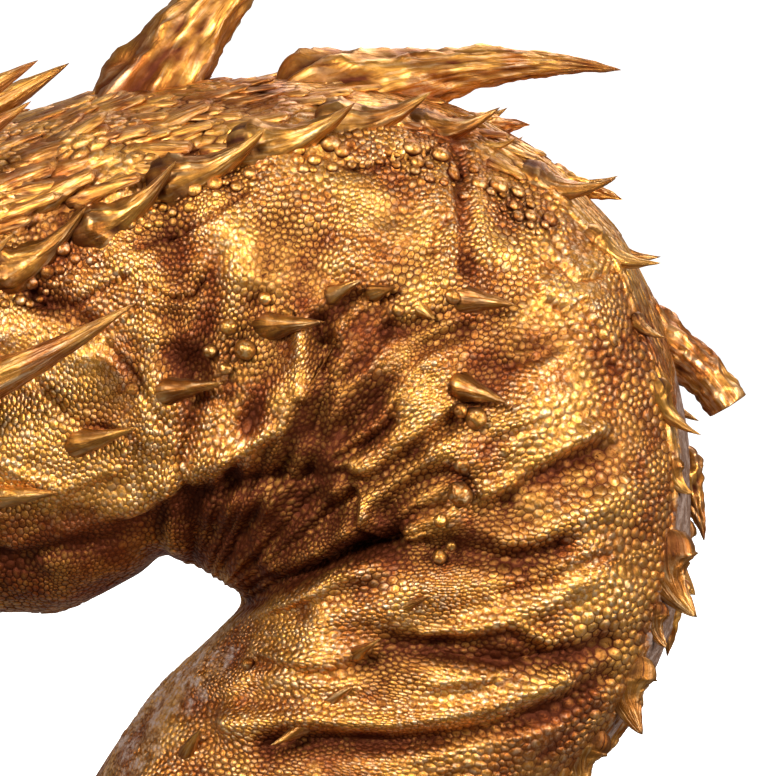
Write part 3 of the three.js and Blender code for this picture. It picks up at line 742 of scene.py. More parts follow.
        # Size of each scale, from the triangles round it
        p = base[:count]
        cross = np.cross(p[tri[:, 1]] - p[tri[:, 0]], p[tri[:, 2]] - p[tri[:, 0]])
        area = np.bincount(corner_v, np.repeat(np.linalg.norm(cross, axis=1) / 6, 3), count)
        width = np.sqrt(np.maximum(area, 0.05))
        rise = self.relief * np.clip(width / self.spacing, 0.5, 1.7) * rng.uniform(0.6, 1.3, count)
        # Spots of wash and painted shade, and below 0 of rubbed gold and painted highlight; thick wash also
        # flattens the scales
        wash_and_painted_light = FORM.wash_and_painted_light(base[:, 0], base[:, 2])
        rise = rise * (0.9 + 0.35 * waves(p, 22, 12)) * (1 - 0.35 * np.clip(wash_and_painted_light[:count], 0, 1))
        worn = 1 - smooth(waves(base, 34, 15), -0.8, 0.6)
        worn = np.maximum(worn, FORM.wrinkled(base))
        rise = rise * (1.15 - 0.6 * worn[:count])
        rise[:loop] = self.relief
        height = spread(rise, self.RIM_HEIGHT * rise, 0.0) - self.SUNK * self.relief
        ends = np.minimum(every_s - self.stations[0], self.stations[1] - every_s) * self.STATION_MM
        sides = np.minimum(every_u, 1 - every_u) * (self.BAND_MM if self.band else self.ROUND_MM)
        if self.lift or self.sink:
            within = smooth(np.minimum(ends, sides), 0, self.BORDER_FADE)
            height += self.lift - (self.lift + self.sink) * (1 - within)
        points = base + out * height[:, None]
        each = rng.random(count)
        each[:loop] = self.MEAN_TONE
        raised = spread(np.ones(count), np.full(count, self.RIM_TONE), 0.0)
        raised = np.maximum(raised, self.WORN_TONE * worn)
        # The fold tone takes in the spots of wash, painted shade and painted highlight; the last tone is bare
        # resin, which low on the throat paints a reflected sheen
        fold_and_painted_light = fold - self.WASH_AND_PAINTED_LIGHT_TONE * wash_and_painted_light * (every_s < HEAD_STATION)
        own = spread(each, each, self.MEAN_TONE)
        tone = np.stack([raised, fold_and_painted_light, own, self.bare_and_painted_sheen(every_s, np.abs(angle))], axis=1)
        # Faces round each directed edge
        where = {}
        for n, (i, j, k) in enumerate(tri.tolist()):
            where[(i, j)] = 3 * n
            where[(j, k)] = 3 * n + 1
            where[(k, i)] = 3 * n + 2
        faces = []
        forward = True
        for (v, u), here in where.items():
            t1 = here // 3
            r1 = first_r + here
            g1 = first_t + t1
            other = where.get((u, v))
            if other is not None:
                t2 = other // 3
                r2 = first_r + 3 * t2 + (other % 3 + 1) % 3
                g2 = first_t + t2
                faces += [(v, r2, r1), (r2, g2, g1), (r2, g1, r1)]
            else:
                u_corner = first_r + 3 * t1 + (here % 3 + 1) % 3
                forward = (v + 1) % loop == u
                e = v if forward else u
                m = first_m + e
                bv = (first_b1 if forward else first_b2) + e
                bu = (first_b2 if forward else first_b1) + e
                faces += [(v, bv, r1), (bv, m, g1), (bv, g1, r1)]
                faces += [(u, u_corner, bu), (u_corner, g1, m), (u_corner, m, bu)]
        points, extra = self.close(points, every_s, loop, first_m, first_b1, first_b2, forward)
        tone = np.concatenate([tone, np.zeros((len(points) - len(tone), 4))])
        return points, tone, np.array(faces + extra)

    def bare_and_painted_sheen(self, station: np.ndarray, angle: np.ndarray) -> np.ndarray:
        """Share of bare resin: down the middle of the back, where the gilding is worn off, and low on the
        throat, where bare grey resin paints a reflected sheen.
        """
        across = np.abs(angle) / (FORM.column(RIDGE, station) * DEGREE)
        strip = 1 - smooth(np.hypot((station - 5.2) / 2.3, 0.82 * across), 0.8, 1.08)
        # Low on the throat: bare grey resin that paints a reflected sheen
        low = smooth(station, 2.2, 3.4) * (1 - smooth(station, 5.0, 6.2))
        return np.maximum(strip, 0.52 * low * smooth(angle, 118 * DEGREE, 150 * DEGREE))

    def close(self, points: np.ndarray, station: np.ndarray, loop: int, m: int, b1: int, b2: int,
              forward: bool) -> tuple[np.ndarray, list]:
        """Closes the stretch with a sheet through the body, between its two long borders.

        Args:
            points: The vertices so far.
            station: Station of each vertex.
            loop: Number of samples in the border loop.
            m: First middle of a border edge.
            b1: First rim vertex after a border sample.
            b2: First rim vertex before one.
            forward: True if the border loop runs the way of the faces.

        Returns:
            The vertices, and the triangles of the sheet.
        """
        n1, n2, n3, _ = self.counts

        def run(first: int, last: int) -> list:
            """Vertices along the border, from one sample to another."""
            line = []
            for i in range(first, last):
                line += [i % loop, b1 + i % loop, m + i % loop, b2 + i % loop]
            line.append(last % loop)
            return line

        self.rim = run(0, loop)
        low = run(0, n1)
        end = run(n1, n1 + n2)
        high = run(n1 + n2, n1 + n2 + n3)[::-1]
        start = run(n1 + n2 + n3, loop)
        if self.stations[0] == 0:
            points[start, 2] = 0
            points[:, 2] = np.maximum(points[:, 2], 0)
        if not self.band:
            for line, share_degrees in ((low, self.degrees[0]), (high, self.degrees[1])):
                if share_degrees in (0, 180):
                    points[line, 1] = 0
        faces = []
        if self.band:
            s = np.linspace(*self.stations, self.KEEL_STEPS)
            keel = FORM.throat(s)
            keel = keel + self.KEEL * (FORM.back(s) - keel)
            if self.stations[0] == 0:
                keel[0, 2] = 0
            first = len(points)
            points = np.concatenate([points, keel])
            spine = list(range(first, first + len(s)))
            station = np.concatenate([station, s])
            faces += self.zip(low, spine, station)
            faces += self.zip(spine, high, station)
            faces += [(spine[-1], a, b) for a, b in zip(end, end[1:])]
            faces += [(spine[0], a, b) for a, b in zip(start, start[1:])]
        else:
            faces += self.zip(low, high, station)
            faces += [(end[0], a, b) for a, b in zip(end[1:], end[2:])]
            faces += [(start[0], a, b) for a, b in zip(start[1:], start[2:])]
        if forward:
            faces = [(a, c, b) for a, b, c in faces]
        return points, faces

    @staticmethod
    def zip(low: list, high: list, station: np.ndarray) -> list:
        """Triangles between two lines of vertices that run the same way, kept in step by their stations."""
        faces = []
        i = 0
        j = 0
        while i < len(low) - 1 or j < len(high) - 1:
            if j == len(high) - 1 or (i < len(low) - 1 and station[low[i + 1]] <= station[high[j + 1]]):
                faces.append((low[i], low[i + 1], high[j]))
                i += 1
            else:
                faces.append((low[i], high[j + 1], high[j]))
                j += 1
        return faces


@dataclass(frozen=True)
class SpikeCut:
    """How the surface of a thorn, spine or horn is cut."""

    flutes: int = 7  # long grooves round it
    flute_depth: float = 0.05
    knot: float = 0.08  # unevenness, as a share of the radius
    swell: float = 0.45  # how much its root swells
    swell_length: float = 0.22
    belly: float = 0.0  # where along it the swelling is thickest
    flat: float = 1.0  # thickness against width
    blunt: float = 0.0  # share of the radius left at a broken tip
    taper: float = 0.85
    rings: float = 0.0  # growth rings at the root
    rough: float = 0.2  # millimetres of hand-cut unevenness


class Cut(Enum):
    """The kinds of spike on the bust."""

    THORN = SpikeCut(flutes=9, flute_depth=0.06, knot=0.08, swell=0.22, belly=0.12, rings=0.05, rough=0.3)
    CLAW = SpikeCut(flutes=11, flute_depth=0.07, knot=0.10, swell=0.42, swell_length=0.3, belly=0.16,
                    rings=0.05, rough=0.5)
    PLATE = SpikeCut(flutes=5, flute_depth=0.06, knot=0.12, swell=0.25, flat=0.36, belly=0.15, taper=0.7,
                     rough=0.5)
    SPINE = SpikeCut(flutes=8, flute_depth=0.09, knot=0.14, swell=0.5, swell_length=0.32, rough=0.8)
    BARK = SpikeCut(flutes=4, flute_depth=0.12, knot=0.20, swell=0.05, flat=0.42, blunt=0.55, taper=0.5,
                    rough=0.35)
    HORN = SpikeCut(flutes=8, flute_depth=0.08, knot=0.06, swell=0.3, rings=0.05, rough=0.4)
    WORN = SpikeCut(flutes=5, flute_depth=0.07, knot=0.14, swell=0.1, blunt=0.72, taper=0.4, rough=0.9)
    TOOTH = SpikeCut(flutes=3, flute_depth=0.01, knot=0.0, swell=0.2, rough=0.05)


class Shaft:
    """A straight shaft of unit length and radius, modelled once, that every spike is bent from."""

    BULB = 0.16  # share of the shaft that rounds off the root
    DIP = 0.7  # how deep that end goes in, over the radius
    TONE = 0.66  # how raised a smooth shaft counts as
    RELIEF_TONE = 2.6
    CHIP_TONE = 0.3
    TIP_TONE = 0.3
    ROOT_FOLD = -0.8  # the wash gathers round the root
    ROOT_LENGTH = 0.12
    MEAN_TONE = 0.5
    GRAIN = 0.14  # how much the grain is drawn out along the shaft

    def __init__(self, sides: int, rings: int) -> None:
        """Models the shaft.

        Args:
            sides: Facets round it.
            rings: Steps along it.
        """
        bpy.ops.object.select_all(action="DESELECT")
        bpy.ops.mesh.primitive_circle_add(vertices=sides, radius=1, fill_type="NGON")
        shaft = bpy.context.object
        bpy.ops.object.mode_set(mode="EDIT")
        bpy.ops.mesh.select_all(action="SELECT")
        for _ in range(rings):
            bpy.ops.mesh.extrude_region_move(TRANSFORM_OT_translate={"value": (0, 0, 1 / rings)})
        bpy.ops.mesh.merge(type="CENTER")
        bpy.ops.mesh.select_all(action="SELECT")
        bpy.ops.mesh.normals_make_consistent(inside=False)
        bpy.ops.mesh.quads_convert_to_tris()
        bpy.ops.object.mode_set(mode="OBJECT")
        self.points, self.faces = take_apart(shaft)

    def bend(self, root: np.ndarray, middle: np.ndarray, tip: np.ndarray, radius: float, out: np.ndarray,
             cut: SpikeCut, seed: int) -> tuple[np.ndarray, np.ndarray, np.ndarray]:
        """Bends the shaft along a curve.

        Args:
            root: Middle of its foot.
            middle: The point that pulls the curve.
            tip: Its tip.
            radius: Radius of its foot.
            out: Way out of the skin.
            cut: How its surface is cut.
            seed: Seed of its unevenness.

        Returns:
            The vertices, three tones for each, and their places in the grain.
        """
        x, y, t = self.points.T
        turn = np.arctan2(y, x)
        bulb = np.clip(t / self.BULB, 0, 1)
        t = np.clip((t - self.BULB) / (1 - self.BULB), 0, 1)
        t1 = t[:, None]
        axis = (1 - t1) ** 2 * root + 2 * t1 * (1 - t1) * middle + t1**2 * tip
        way = unit((1 - t1) * (middle - root) + t1 * (tip - middle))
        side = unit(np.cross(way, out))
        up = np.cross(side, way)
        around = np.stack([np.cos(turn) * 1.1, np.sin(turn) * 1.1, t * 4], axis=1)
        knots = waves(around, 1.3, seed) * 0.6 + waves(around, 0.45, seed + 1) * 0.4
        groove = np.cos(cut.flutes * turn + 1.2 * waves(t[:, None] * 3, 1.0, seed + 2))
        steps = ((t * 9) % 1 - 0.5) * cut.rings * 2 * np.exp(-t * 3)
        relief = cut.flute_depth * groove + cut.knot * knots + steps
        thick = np.maximum((1 - t) ** cut.taper, cut.blunt) * np.sqrt(1 - (1 - bulb) ** 2)
        axis = axis - way * ((1 - bulb) * self.DIP * radius * (1 + cut.swell))[:, None]
        swell = 1 + cut.swell * np.exp(-(((t - cut.belly) / cut.swell_length) ** 2))
        reach = radius * np.hypot(x, y) * thick * swell * (1 + relief * (0.35 + 0.65 * (1 - t)))
        outward = side * np.cos(turn)[:, None] + up * (np.sin(turn) * cut.flat)[:, None]
        length = np.linalg.norm(tip - root)
        around = np.cos(turn) * radius
        across = np.sin(turn) * radius
        cuts = np.stack([around, across, t * length * 0.4 + seed], axis=1)
        chips = waves(cuts, 3.4, seed + 3) * 0.6 + waves(cuts, 1.5, seed + 4) * 0.4
        reach = reach + cut.rough * chips * np.hypot(x, y) * (1 - t) ** 0.5 * bulb
        points = axis + outward * reach[:, None]
        chipped = self.CHIP_TONE * chips * min(cut.rough * 2, 1)
        raised = np.clip(self.TONE + relief * self.RELIEF_TONE + chipped + self.TIP_TONE * t, 0, 1)
        fold = self.ROOT_FOLD * np.exp(-((t / self.ROOT_LENGTH) ** 2))
        tone = np.stack([raised, fold, np.full(t.shape, self.MEAN_TONE)], axis=1)
        grain = np.stack([around, across, t * length * self.GRAIN + 7 * seed], axis=1)
        return points, tone, grain


@dataclass
class SpikeGroup:
    """Spikes of one kind, joined in one piece."""

    name: str
    shaft: Shaft
    cut: SpikeCut
    points: list = field(default_factory=list)
    tones: list = field(default_factory=list)
    faces: list = field(default_factory=list)
    grains: list = field(default_factory=list)
    count: int = 0

    def add(self, root: np.ndarray, middle: np.ndarray, tip: np.ndarray, radius: float, out: np.ndarray,
            cut: SpikeCut | None = None) -> None:
        """Adds one spike along a curve, cut as the group is unless another cut is given."""
        seed = 101 + 7 * len(self.points)
        points, tone, grain = self.shaft.bend(root, middle, tip, radius, out, cut or self.cut, seed)
        self.grains.append(grain)
        self.faces.append(self.shaft.faces + self.count)
        self.points.append(points)
        self.tones.append(tone)
        self.count += len(points)

    def grow(self, station: float, degrees: float, length: float, radius: float, lift: float, tip_lift: float,
             cut: SpikeCut | None = None) -> None:
        """Adds a spike that grows from the skin and leans back from the head.

        Args:
            station: Place along the body.
            degrees: Place round it.
            length: Length of the spike.
            radius: Radius of its foot.
            lift: Degrees off the skin at its root.
            tip_lift: Degrees off the skin at its tip.
            cut: How its surface is cut, if not as the group's.
        """
        point, backwards, out = FORM.place(station, degrees)

        def lean(angle: float) -> np.ndarray:
            """Way along the skin, lifted off it."""
            return backwards * math.cos(angle * DEGREE) + out * math.sin(angle * DEGREE)

        root = point - lean(lift) * radius * 0.6 - out * radius * 0.5
        middle = point + lean(lift) * length / 2
        self.add(root, middle, middle + lean(tip_lift) * length / 2, radius, out, cut)

    def build(self, material: bpy.types.Material) -> None:
        """Makes the piece."""
        made = (np.concatenate(part) for part in (self.points, self.faces, self.tones, self.grains))
        add_mesh(self.name, *made, material)


class BallGroup:
    """Flattened balls, joined in one piece."""

    def __init__(self, name: str, steps: int) -> None:
        """Models the ball that is repeated.

        Args:
            name: Name of the piece.
            steps: Subdivisions of the ball.
        """
        bpy.ops.object.select_all(action="DESELECT")
        bpy.ops.mesh.primitive_ico_sphere_add(subdivisions=steps, radius=1)
        self.name = name
        self.ball, self.triangles = take_apart(bpy.context.object)
        self.rng = np.random.default_rng(57)
        self.points: list = []
        self.tones: list = []

    def add(self, point: np.ndarray, backwards: np.ndarray, out: np.ndarray, size: float,
            height: float) -> None:
        """Adds one ball on the skin, with its height over its radius."""
        side = np.cross(backwards, out)
        x, y, z = self.ball.T
        bump = 1 + 0.07 * waves(self.ball * 2 + 9 * self.rng.random(3), 2.2, 58)
        made = point + out * (0.2 * size + height * size * z * bump)[:, None]
        made = made + backwards * (1.1 * size * x * bump)[:, None] + side * (size * y * bump)[:, None]
        top = np.clip(z * 1.6 - 0.1, 0, 1)
        self.points.append(made)
        self.tones.append(np.stack([top, 0 * z, np.full(z.shape, self.rng.random())], axis=1))

    def build(self, material: bpy.types.Material) -> None:
        """Makes the piece."""
        faces = np.concatenate([self.triangles + n * len(self.ball) for n in range(len(self.points))])
        points = np.concatenate(self.points)
        add_mesh(self.name, points, faces, np.concatenate(self.tones), points, material)


@dataclass
class NeckArms:
    """Thorns, spines and crest of the neck."""

    # Station and length of each ridge thorn
    ridge: tuple = (
        (15.9, 22), (15, 23), (13.9, 24), (12.95, 26), (12.2, 27), (11.5, 24), (10.75, 19), (10.2, 9),
        (9.6, 20), (8.75, 17), (7.9, 8), (7.15, 15), (6.35, 8), (5.5, 17), (4.9, 9), (4.3, 15), (3.5, 13),
        (2.7, 12), (1.8, 11), (0.9, 10))
    slender: float = 4.7  # length over root radius
    # By station: degrees that the thorns stand above the ridge, that their roots hang below, and their lift
    ridge_turn: tuple = ((8, 9.5, 11, 12.5), (0, 5, 7, 0))
    ridge_hang: tuple = ((8.5, 11.5, 14), (2, 3, 9))
    ridge_lift: tuple = ((0, 8, 10, 11.5, 17), (33, 30, 36, 22, 14))
    plates_end: float = 6.6  # up to this station they are flat plates that stand along the ridge
    plate_width: float = 1.9
    # Station, length, root radius, lift at the root and at the tip of each spine of the back
    spines: tuple = (
        (13.45, 90, 9.4, 56, 8), (11.65, 72, 9, 20, -4), (10.3, 12, 3, 30, 20),
        (9.3, 14, 3.2, 30, 20), (6.2, 18, 4, 14, 6), (4.9, 14, 3.6, 13, 5), (3.7, 12, 3.4, 13, 5),
        (2.5, 12, 3.2, 13, 5), (1.3, 10, 3, 13, 5))
    # The spine with a worn, rounded tip
    worn_spine: tuple = (7.6, 25, 7.4, 36, 14)
    # Station, degrees from the back, length, root radius and heading of each thorn on the side
    side: tuple = (
        (15.4, 115, 19, 3.4, 16), (14.3, 108, 18, 3.2, 24), (12.75, 102, 17, 3.2, 12), (11.4, 88, 16, 3.2, 5),
        (10.75, 79, 9, 2.0, 24), (10.29, 75, 6, 2.0, 8), (9.69, 73, 5, 2.2, -40), (9.3, 65, 12, 3.4, -10),
        (8.56, 78, 12, 3.2, -22), (5.66, 98, 9, 1.7, 26), (4.28, 103, 9, 1.7, 26), (3.89, 104, 9, 1.8, 200),
        (4.97, 104, 9, 1.6, 30), (3.49, 131, 9, 2.2, 30), (2.3, 104, 9, 2.0, 230), (1.3, 106, 9, 2.2, 240),
        (2.9, 60, 8, 2.0, 215))
    # Station, degrees and radius of each round knob
    knobs: tuple = (
        (8.12, 79, 2.6), (7.65, 85, 2.0), (7.26, 87, 2.9), (7.0, 91, 1.6), (6.35, 92, 1.8),
        (6.5, 90, 1.3), (8.35, 81, 1.7), (11.59, 92, 2.5), (11.91, 89, 2.1), (11.54, 83, 1.6),
        (11.2, 85, 1.5), (9.45, 67, 1.8), (4.87, 133, 1.6), (12.1, 93, 1.7), (11.8, 96, 1.5),
        (9.9, 76, 1.5), (13.3, 100, 1.6), (7.5, 76, 1.5))
    side_lift: float = 22
    knob_height: float = 1.1  # over the radius
    # First and last station of the crest's flakes and the step between them, and the degrees between flakes
    flake_rows: tuple = (9.6, 17.2, 0.31)
    flake_degrees: float = 7.2
    flake_margin: float = 2  # degrees that they keep off the ridges
    # How far each flake is from its place along and round, and its length, root radius, lift, skew and droop
    flake_off: tuple = (0.2, 4)
    flake_length: tuple = (12, 24)
    flake_radius: tuple = (2.4, 5.6)
    flake_lift: tuple = (5, 13)
    flake_skew: float = 0.28
    flake_droop: float = 0.1
    # First and last station of the pebbles, their rows, radius, and degrees from the ridge and between rows
    pebble_stations: tuple = (9.2, 16.8)
    pebble_rows: int = 3
    pebble_radius: tuple = (1.2, 2.5)
    pebble_degrees: tuple = (10.5, 3.6)
    pebble_height: float = 0.75
    pebble_gap: tuple = (2.1, 3.0)  # between their middles, over the radius
    station_length: float = 21  # millimetres, behind the head

    def build(self, gold: bpy.types.Material, horn: bpy.types.Material) -> None:
        """Makes the pieces on the neck."""
        self.ridges().build(horn)
        self.back().build(gold)
        self.sides().build(horn)
        self.crest().build(gold)
        self.balls("ridge_pebbles", self.pebbles(), self.pebble_height, 2).build(gold)
        self.balls("side_knobs", self.knobs, self.knob_height, 3).build(horn)

    def ridges(self) -> SpikeGroup:
        """The two rows of thorns down the back."""
        group = SpikeGroup("ridge_thorns", Shaft(26, 24), Cut.CLAW.value)
        for station, length in self.ridge:
            lift = float(np.interp(station, *self.ridge_lift))
            degrees = FORM.ridge(station) - float(np.interp(station, *self.ridge_turn))
            radius = length / self.slender
            hang = float(np.interp(station, *self.ridge_hang))
            for way in (1, -1):
                point, backwards, out = FORM.place(station, way * degrees)
                tip = point + (backwards * math.cos(lift * DEGREE) + out * math.sin(lift * DEGREE)) * length
                foot, along, off = FORM.place(station, way * (degrees + hang))
                root = foot - off * radius * 0.55 - along * radius * 0.2
                middle = root + along * length * 0.5 + off * radius * 0.2
                if station > self.plates_end:
                    group.add(root, middle, tip, radius, off)
                else:
                    group.add(root, middle, tip, self.plate_width * radius, np.array([0.0, -way, 0.0]),
                              Cut.PLATE.value)
        return group

    def back(self) -> SpikeGroup:
        """The tall spines down the middle of the back."""
        group = SpikeGroup("back_spines", Shaft(48, 64), Cut.SPINE.value)
        for station, length, radius, lift, tip_lift in self.spines:
            group.grow(station, 0, length, radius, lift, tip_lift)
        station, length, radius, lift, tip_lift = self.worn_spine
        group.grow(station, 0, length, radius, lift, tip_lift, Cut.WORN.value)
        return group

    def sides(self) -> SpikeGroup:
        """The small thorns on the sides."""
        group = SpikeGroup("side_thorns", Shaft(16, 16), Cut.THORN.value)
        for station, degrees, length, radius, heading in self.side:
            for way in (1, -1):
                point, _, out = FORM.place(station, way * degrees)
                forward = np.array([math.cos(heading * DEGREE), 0, math.sin(heading * DEGREE)])
                along = unit(forward - out * forward.dot(out))
                lean = along * math.cos(self.side_lift * DEGREE) + out * math.sin(self.side_lift * DEGREE)
                root = point - out * radius * 0.8 - lean * radius * 0.3
                middle = point + lean * length / 2 + out * length * 0.04
                group.add(root, middle, point + lean * length, radius, out)
        return group

    def crest(self) -> SpikeGroup:
        """Broken, overlapping flakes that cover the back behind the head, like bark."""
        rng = np.random.default_rng(51)
        group = SpikeGroup("crest_flakes", Shaft(12, 10), Cut.BARK.value)
        first, _, _ = self.flake_rows
        for station in np.arange(*self.flake_rows):
            reach = FORM.ridge(station) - self.flake_margin
            for degrees in np.arange(-reach, reach + 1, self.flake_degrees):
                size = 0.55 + 0.45 * (station - first) / 7
                at = station + rng.uniform(-self.flake_off[0], self.flake_off[0])
                round_ = degrees + rng.uniform(-self.flake_off[1], self.flake_off[1])
                length = rng.uniform(*self.flake_length) * size
                lift = rng.uniform(*self.flake_lift) * DEGREE
                radius = rng.uniform(*self.flake_radius) * size
                point, backwards, out = FORM.place(at, round_)
                skew = np.cross(backwards, out) * rng.uniform(-self.flake_skew, self.flake_skew)
                lean = unit(backwards * math.cos(lift) + out * math.sin(lift) + skew)
                root = point - lean * radius * 0.5 - out * radius * 0.1
                middle = root + lean * length * 0.5
                tip = middle + unit(lean - out * rng.uniform(0.0, self.flake_droop)) * length * 0.5
                group.add(root, middle, tip, radius, out)
        return group

    def pebbles(self) -> list:
        """Station, degrees from the back and radius of each pebble along the foot of the ridge thorns."""
        rng = np.random.default_rng(52)
        places = []
        for row in range(self.pebble_rows):
            station, last = self.pebble_stations
            while station < last:
                size = rng.uniform(*self.pebble_radius) * (1 - 0.2 * row)
                off, between = self.pebble_degrees
                degrees = FORM.ridge(station) + off + between * row + rng.uniform(-1, 1)
                places.append((station, degrees, size))
                station += size * rng.uniform(*self.pebble_gap) / self.station_length
        return places

    @staticmethod
    def balls(name: str, places: list | tuple, height: float, steps: int) -> BallGroup:
        """Balls set in the skin on both sides.

        Args:
            name: Name of the piece.
            places: Station, degrees from the back and radius of each.
            height: Height over radius.
            steps: Subdivisions of a ball.

        Returns:
            The balls.
        """
        group = BallGroup(name, steps)
        for station, degrees, size in places:
            for way in (1, -1):
                point, backwards, out = FORM.place(station, way * degrees)
                group.add(point, backwards, out, size, height)
        return group


@dataclass
class Head:
    """Horns, spikes, eyes and teeth of the head."""

    # Root x, y, z, tip x, y, z, sag and root radius of each horn
    horns: tuple = (
        (-104, 22, 214, -54, 25, 237, -3, 8.5), (-98, 36, 203, -53, 42, 227, -3, 7.5),
        (-104, 44, 178, -58, 64, 192, -2, 6.5), (-108, 42, 140, -24.5, 68, 180, -6, 9.5),
        (-158, 19, 190, -106, 38, 230, -1, 8), (-112, 40, 158, -76, 63, 160, -2, 5))
    bow: float = 5  # how far the horns bend outwards
    axis_height: float = 170  # middle of the head, which the horns grow away from
    # Station, degrees from the back, length, root radius and lift of each spike of the jaw,
    # and of the nose and chin
    jaw: tuple = (
        (16.7, 128, 30, 6, 24), (17.7, 142, 25, 5, 26), (18.8, 146, 19, 4, 28), (20, 148, 14, 3.2, 30),
        (21.2, 150, 11, 2.7, 32))
    nose: tuple = (
        (23.3, 0, 13, 3.6, 50), (22, 0, 9, 3, 44), (20.8, 0, 9, 3, 40), (19.4, 0, 12, 3.6, 38),
        (18.2, 0, 18, 4.4, 34), (16.6, 0, 26, 5, 30), (23, 180, 11, 3, 40), (21, 180, 9, 2.8, 36))
    drop: float = 16  # degrees that the spikes' tips lie lower than their roots
    # x and z of the eye, its radius, and how far it stands out of the skin
    eye: tuple = (-144.5, 178.5, 8.5, 3.4)
    slit_width: float = 0.9
    slit_depth: float = 0.06
    # x and z of the root, length and way of each tooth
    teeth: tuple = (
        (-231, 146.5, 8, -1), (-225, 143, 7, 1), (-216, 145.5, 5, -1), (-207, 147.5, 7, -1),
        (-199, 146, 6, 1), (-190, 146, 5, -1), (-180, 144.5, 6, -1), (-170, 141, 4.5, -1),
        (-161, 138, 4, -1))
    tooth_radius: float = 1.7

    def on_side(self, x: float, z: float) -> float:
        """How far out the head's skin is at a point of the side view."""
        s, a = np.meshgrid(np.arange(HEAD_STATION, LAST_STATION, 0.1), np.arange(30, 151, 2) * DEGREE)
        p, _ = FORM.skin(s.ravel(), a.ravel(), bare=True)
        return abs(float(p[np.argmin(np.hypot(p[:, 0] - x, p[:, 2] - z)), 1]))

    def build(self, gold: bpy.types.Material, horn: bpy.types.Material) -> None:
        """Makes the pieces on the head."""
        self.crown().build(gold)
        self.spikes().build(horn)
        self.mouth().build(horn)
        self.eyes(gold)

    def crown(self) -> SpikeGroup:
        """The horns."""
        group = SpikeGroup("head_horns", Shaft(28, 36), Cut.HORN.value)
        for x, y, z, tx, ty, tz, sag, radius in self.horns:
            for way in (1, -1):
                root = np.array([x, -way * y, z], dtype=float)
                tip = np.array([tx, -way * ty, tz], dtype=float)
                middle = (root + tip) / 2 + np.array([0, -way * self.bow, sag])
                out = unit(np.array([0.0, -way * y, z - self.axis_height]))
                root = root - out * radius * 0.6
                group.add(root, middle, tip, radius, out)
        return group

    def spikes(self) -> SpikeGroup:
        """The spikes of the jaw, nose and chin."""
        group = SpikeGroup("head_spikes", Shaft(16, 18), Cut.THORN.value)
        for station, degrees, length, radius, lift in self.jaw:
            for way in (1, -1):
                group.grow(station, way * degrees, length, radius, lift, lift - self.drop)
        for station, degrees, length, radius, lift in self.nose:
            group.grow(station, degrees, length, radius, lift, lift - self.drop)
        return group

    def mouth(self) -> SpikeGroup:
        """The teeth over the lips."""
        group = SpikeGroup("teeth", Shaft(12, 10), Cut.TOOTH.value)
        for x, z, length, way in self.teeth:
            reach = self.on_side(x, z)
            for side in (1, -1):
                root = np.array([x, side * (reach - 0.6), z - way * 2.5])
                tip = np.array([x + 1.2, side * (reach + 0.4), z + way * length])
                middle = np.array([x - 0.6, side * (reach + 1.4), z + way * length / 2])
                group.add(root, middle, tip, self.tooth_radius, np.array([0.0, side, 0.0]))
        return group

    def eyes(self, material: bpy.types.Material) -> None:
        """The eyeballs, with a slit."""
        x, z, radius, show = self.eye
        reach = self.on_side(x, z)
        for name, side in (("eye_near", -1), ("eye_far", 1)):
            bpy.ops.object.select_all(action="DESELECT")
            bpy.ops.mesh.primitive_uv_sphere_add(segments=40, ring_count=24, radius=radius)
            points, faces = take_apart(bpy.context.object)
            slit = np.exp(-((points[:, 0] / self.slit_width) ** 2)) * (side * points[:, 1] > 0)
            points = points * (1 - self.slit_depth * slit)[:, None]
            place = np.array([x, side * (reach - radius + show), z])
            tone = np.stack([1 - slit, -3 * slit, np.full(len(points), 0.6)], axis=1)
            add_mesh(name, points + place, faces, tone, points, material)


def add_node(tree: bpy.types.NodeTree, kind: str, settings: dict | None = None) -> bpy.types.Node:
    """Adds a shader node.

    Args:
        tree: The node tree.
        kind: The node's type.
        settings: Attributes by name, and input values by socket name or number; a socket is linked.

    Returns:
        The node.
    """
    node = tree.nodes.new(kind)
    for name, value in (settings or {}).items():
        if isinstance(value, bpy.types.NodeSocket):
            tree.links.new(value, node.inputs[name])
        elif isinstance(name, int) or name in node.inputs:
            node.inputs[name].default_value = value
        else:
            setattr(node, name, value)
    return node


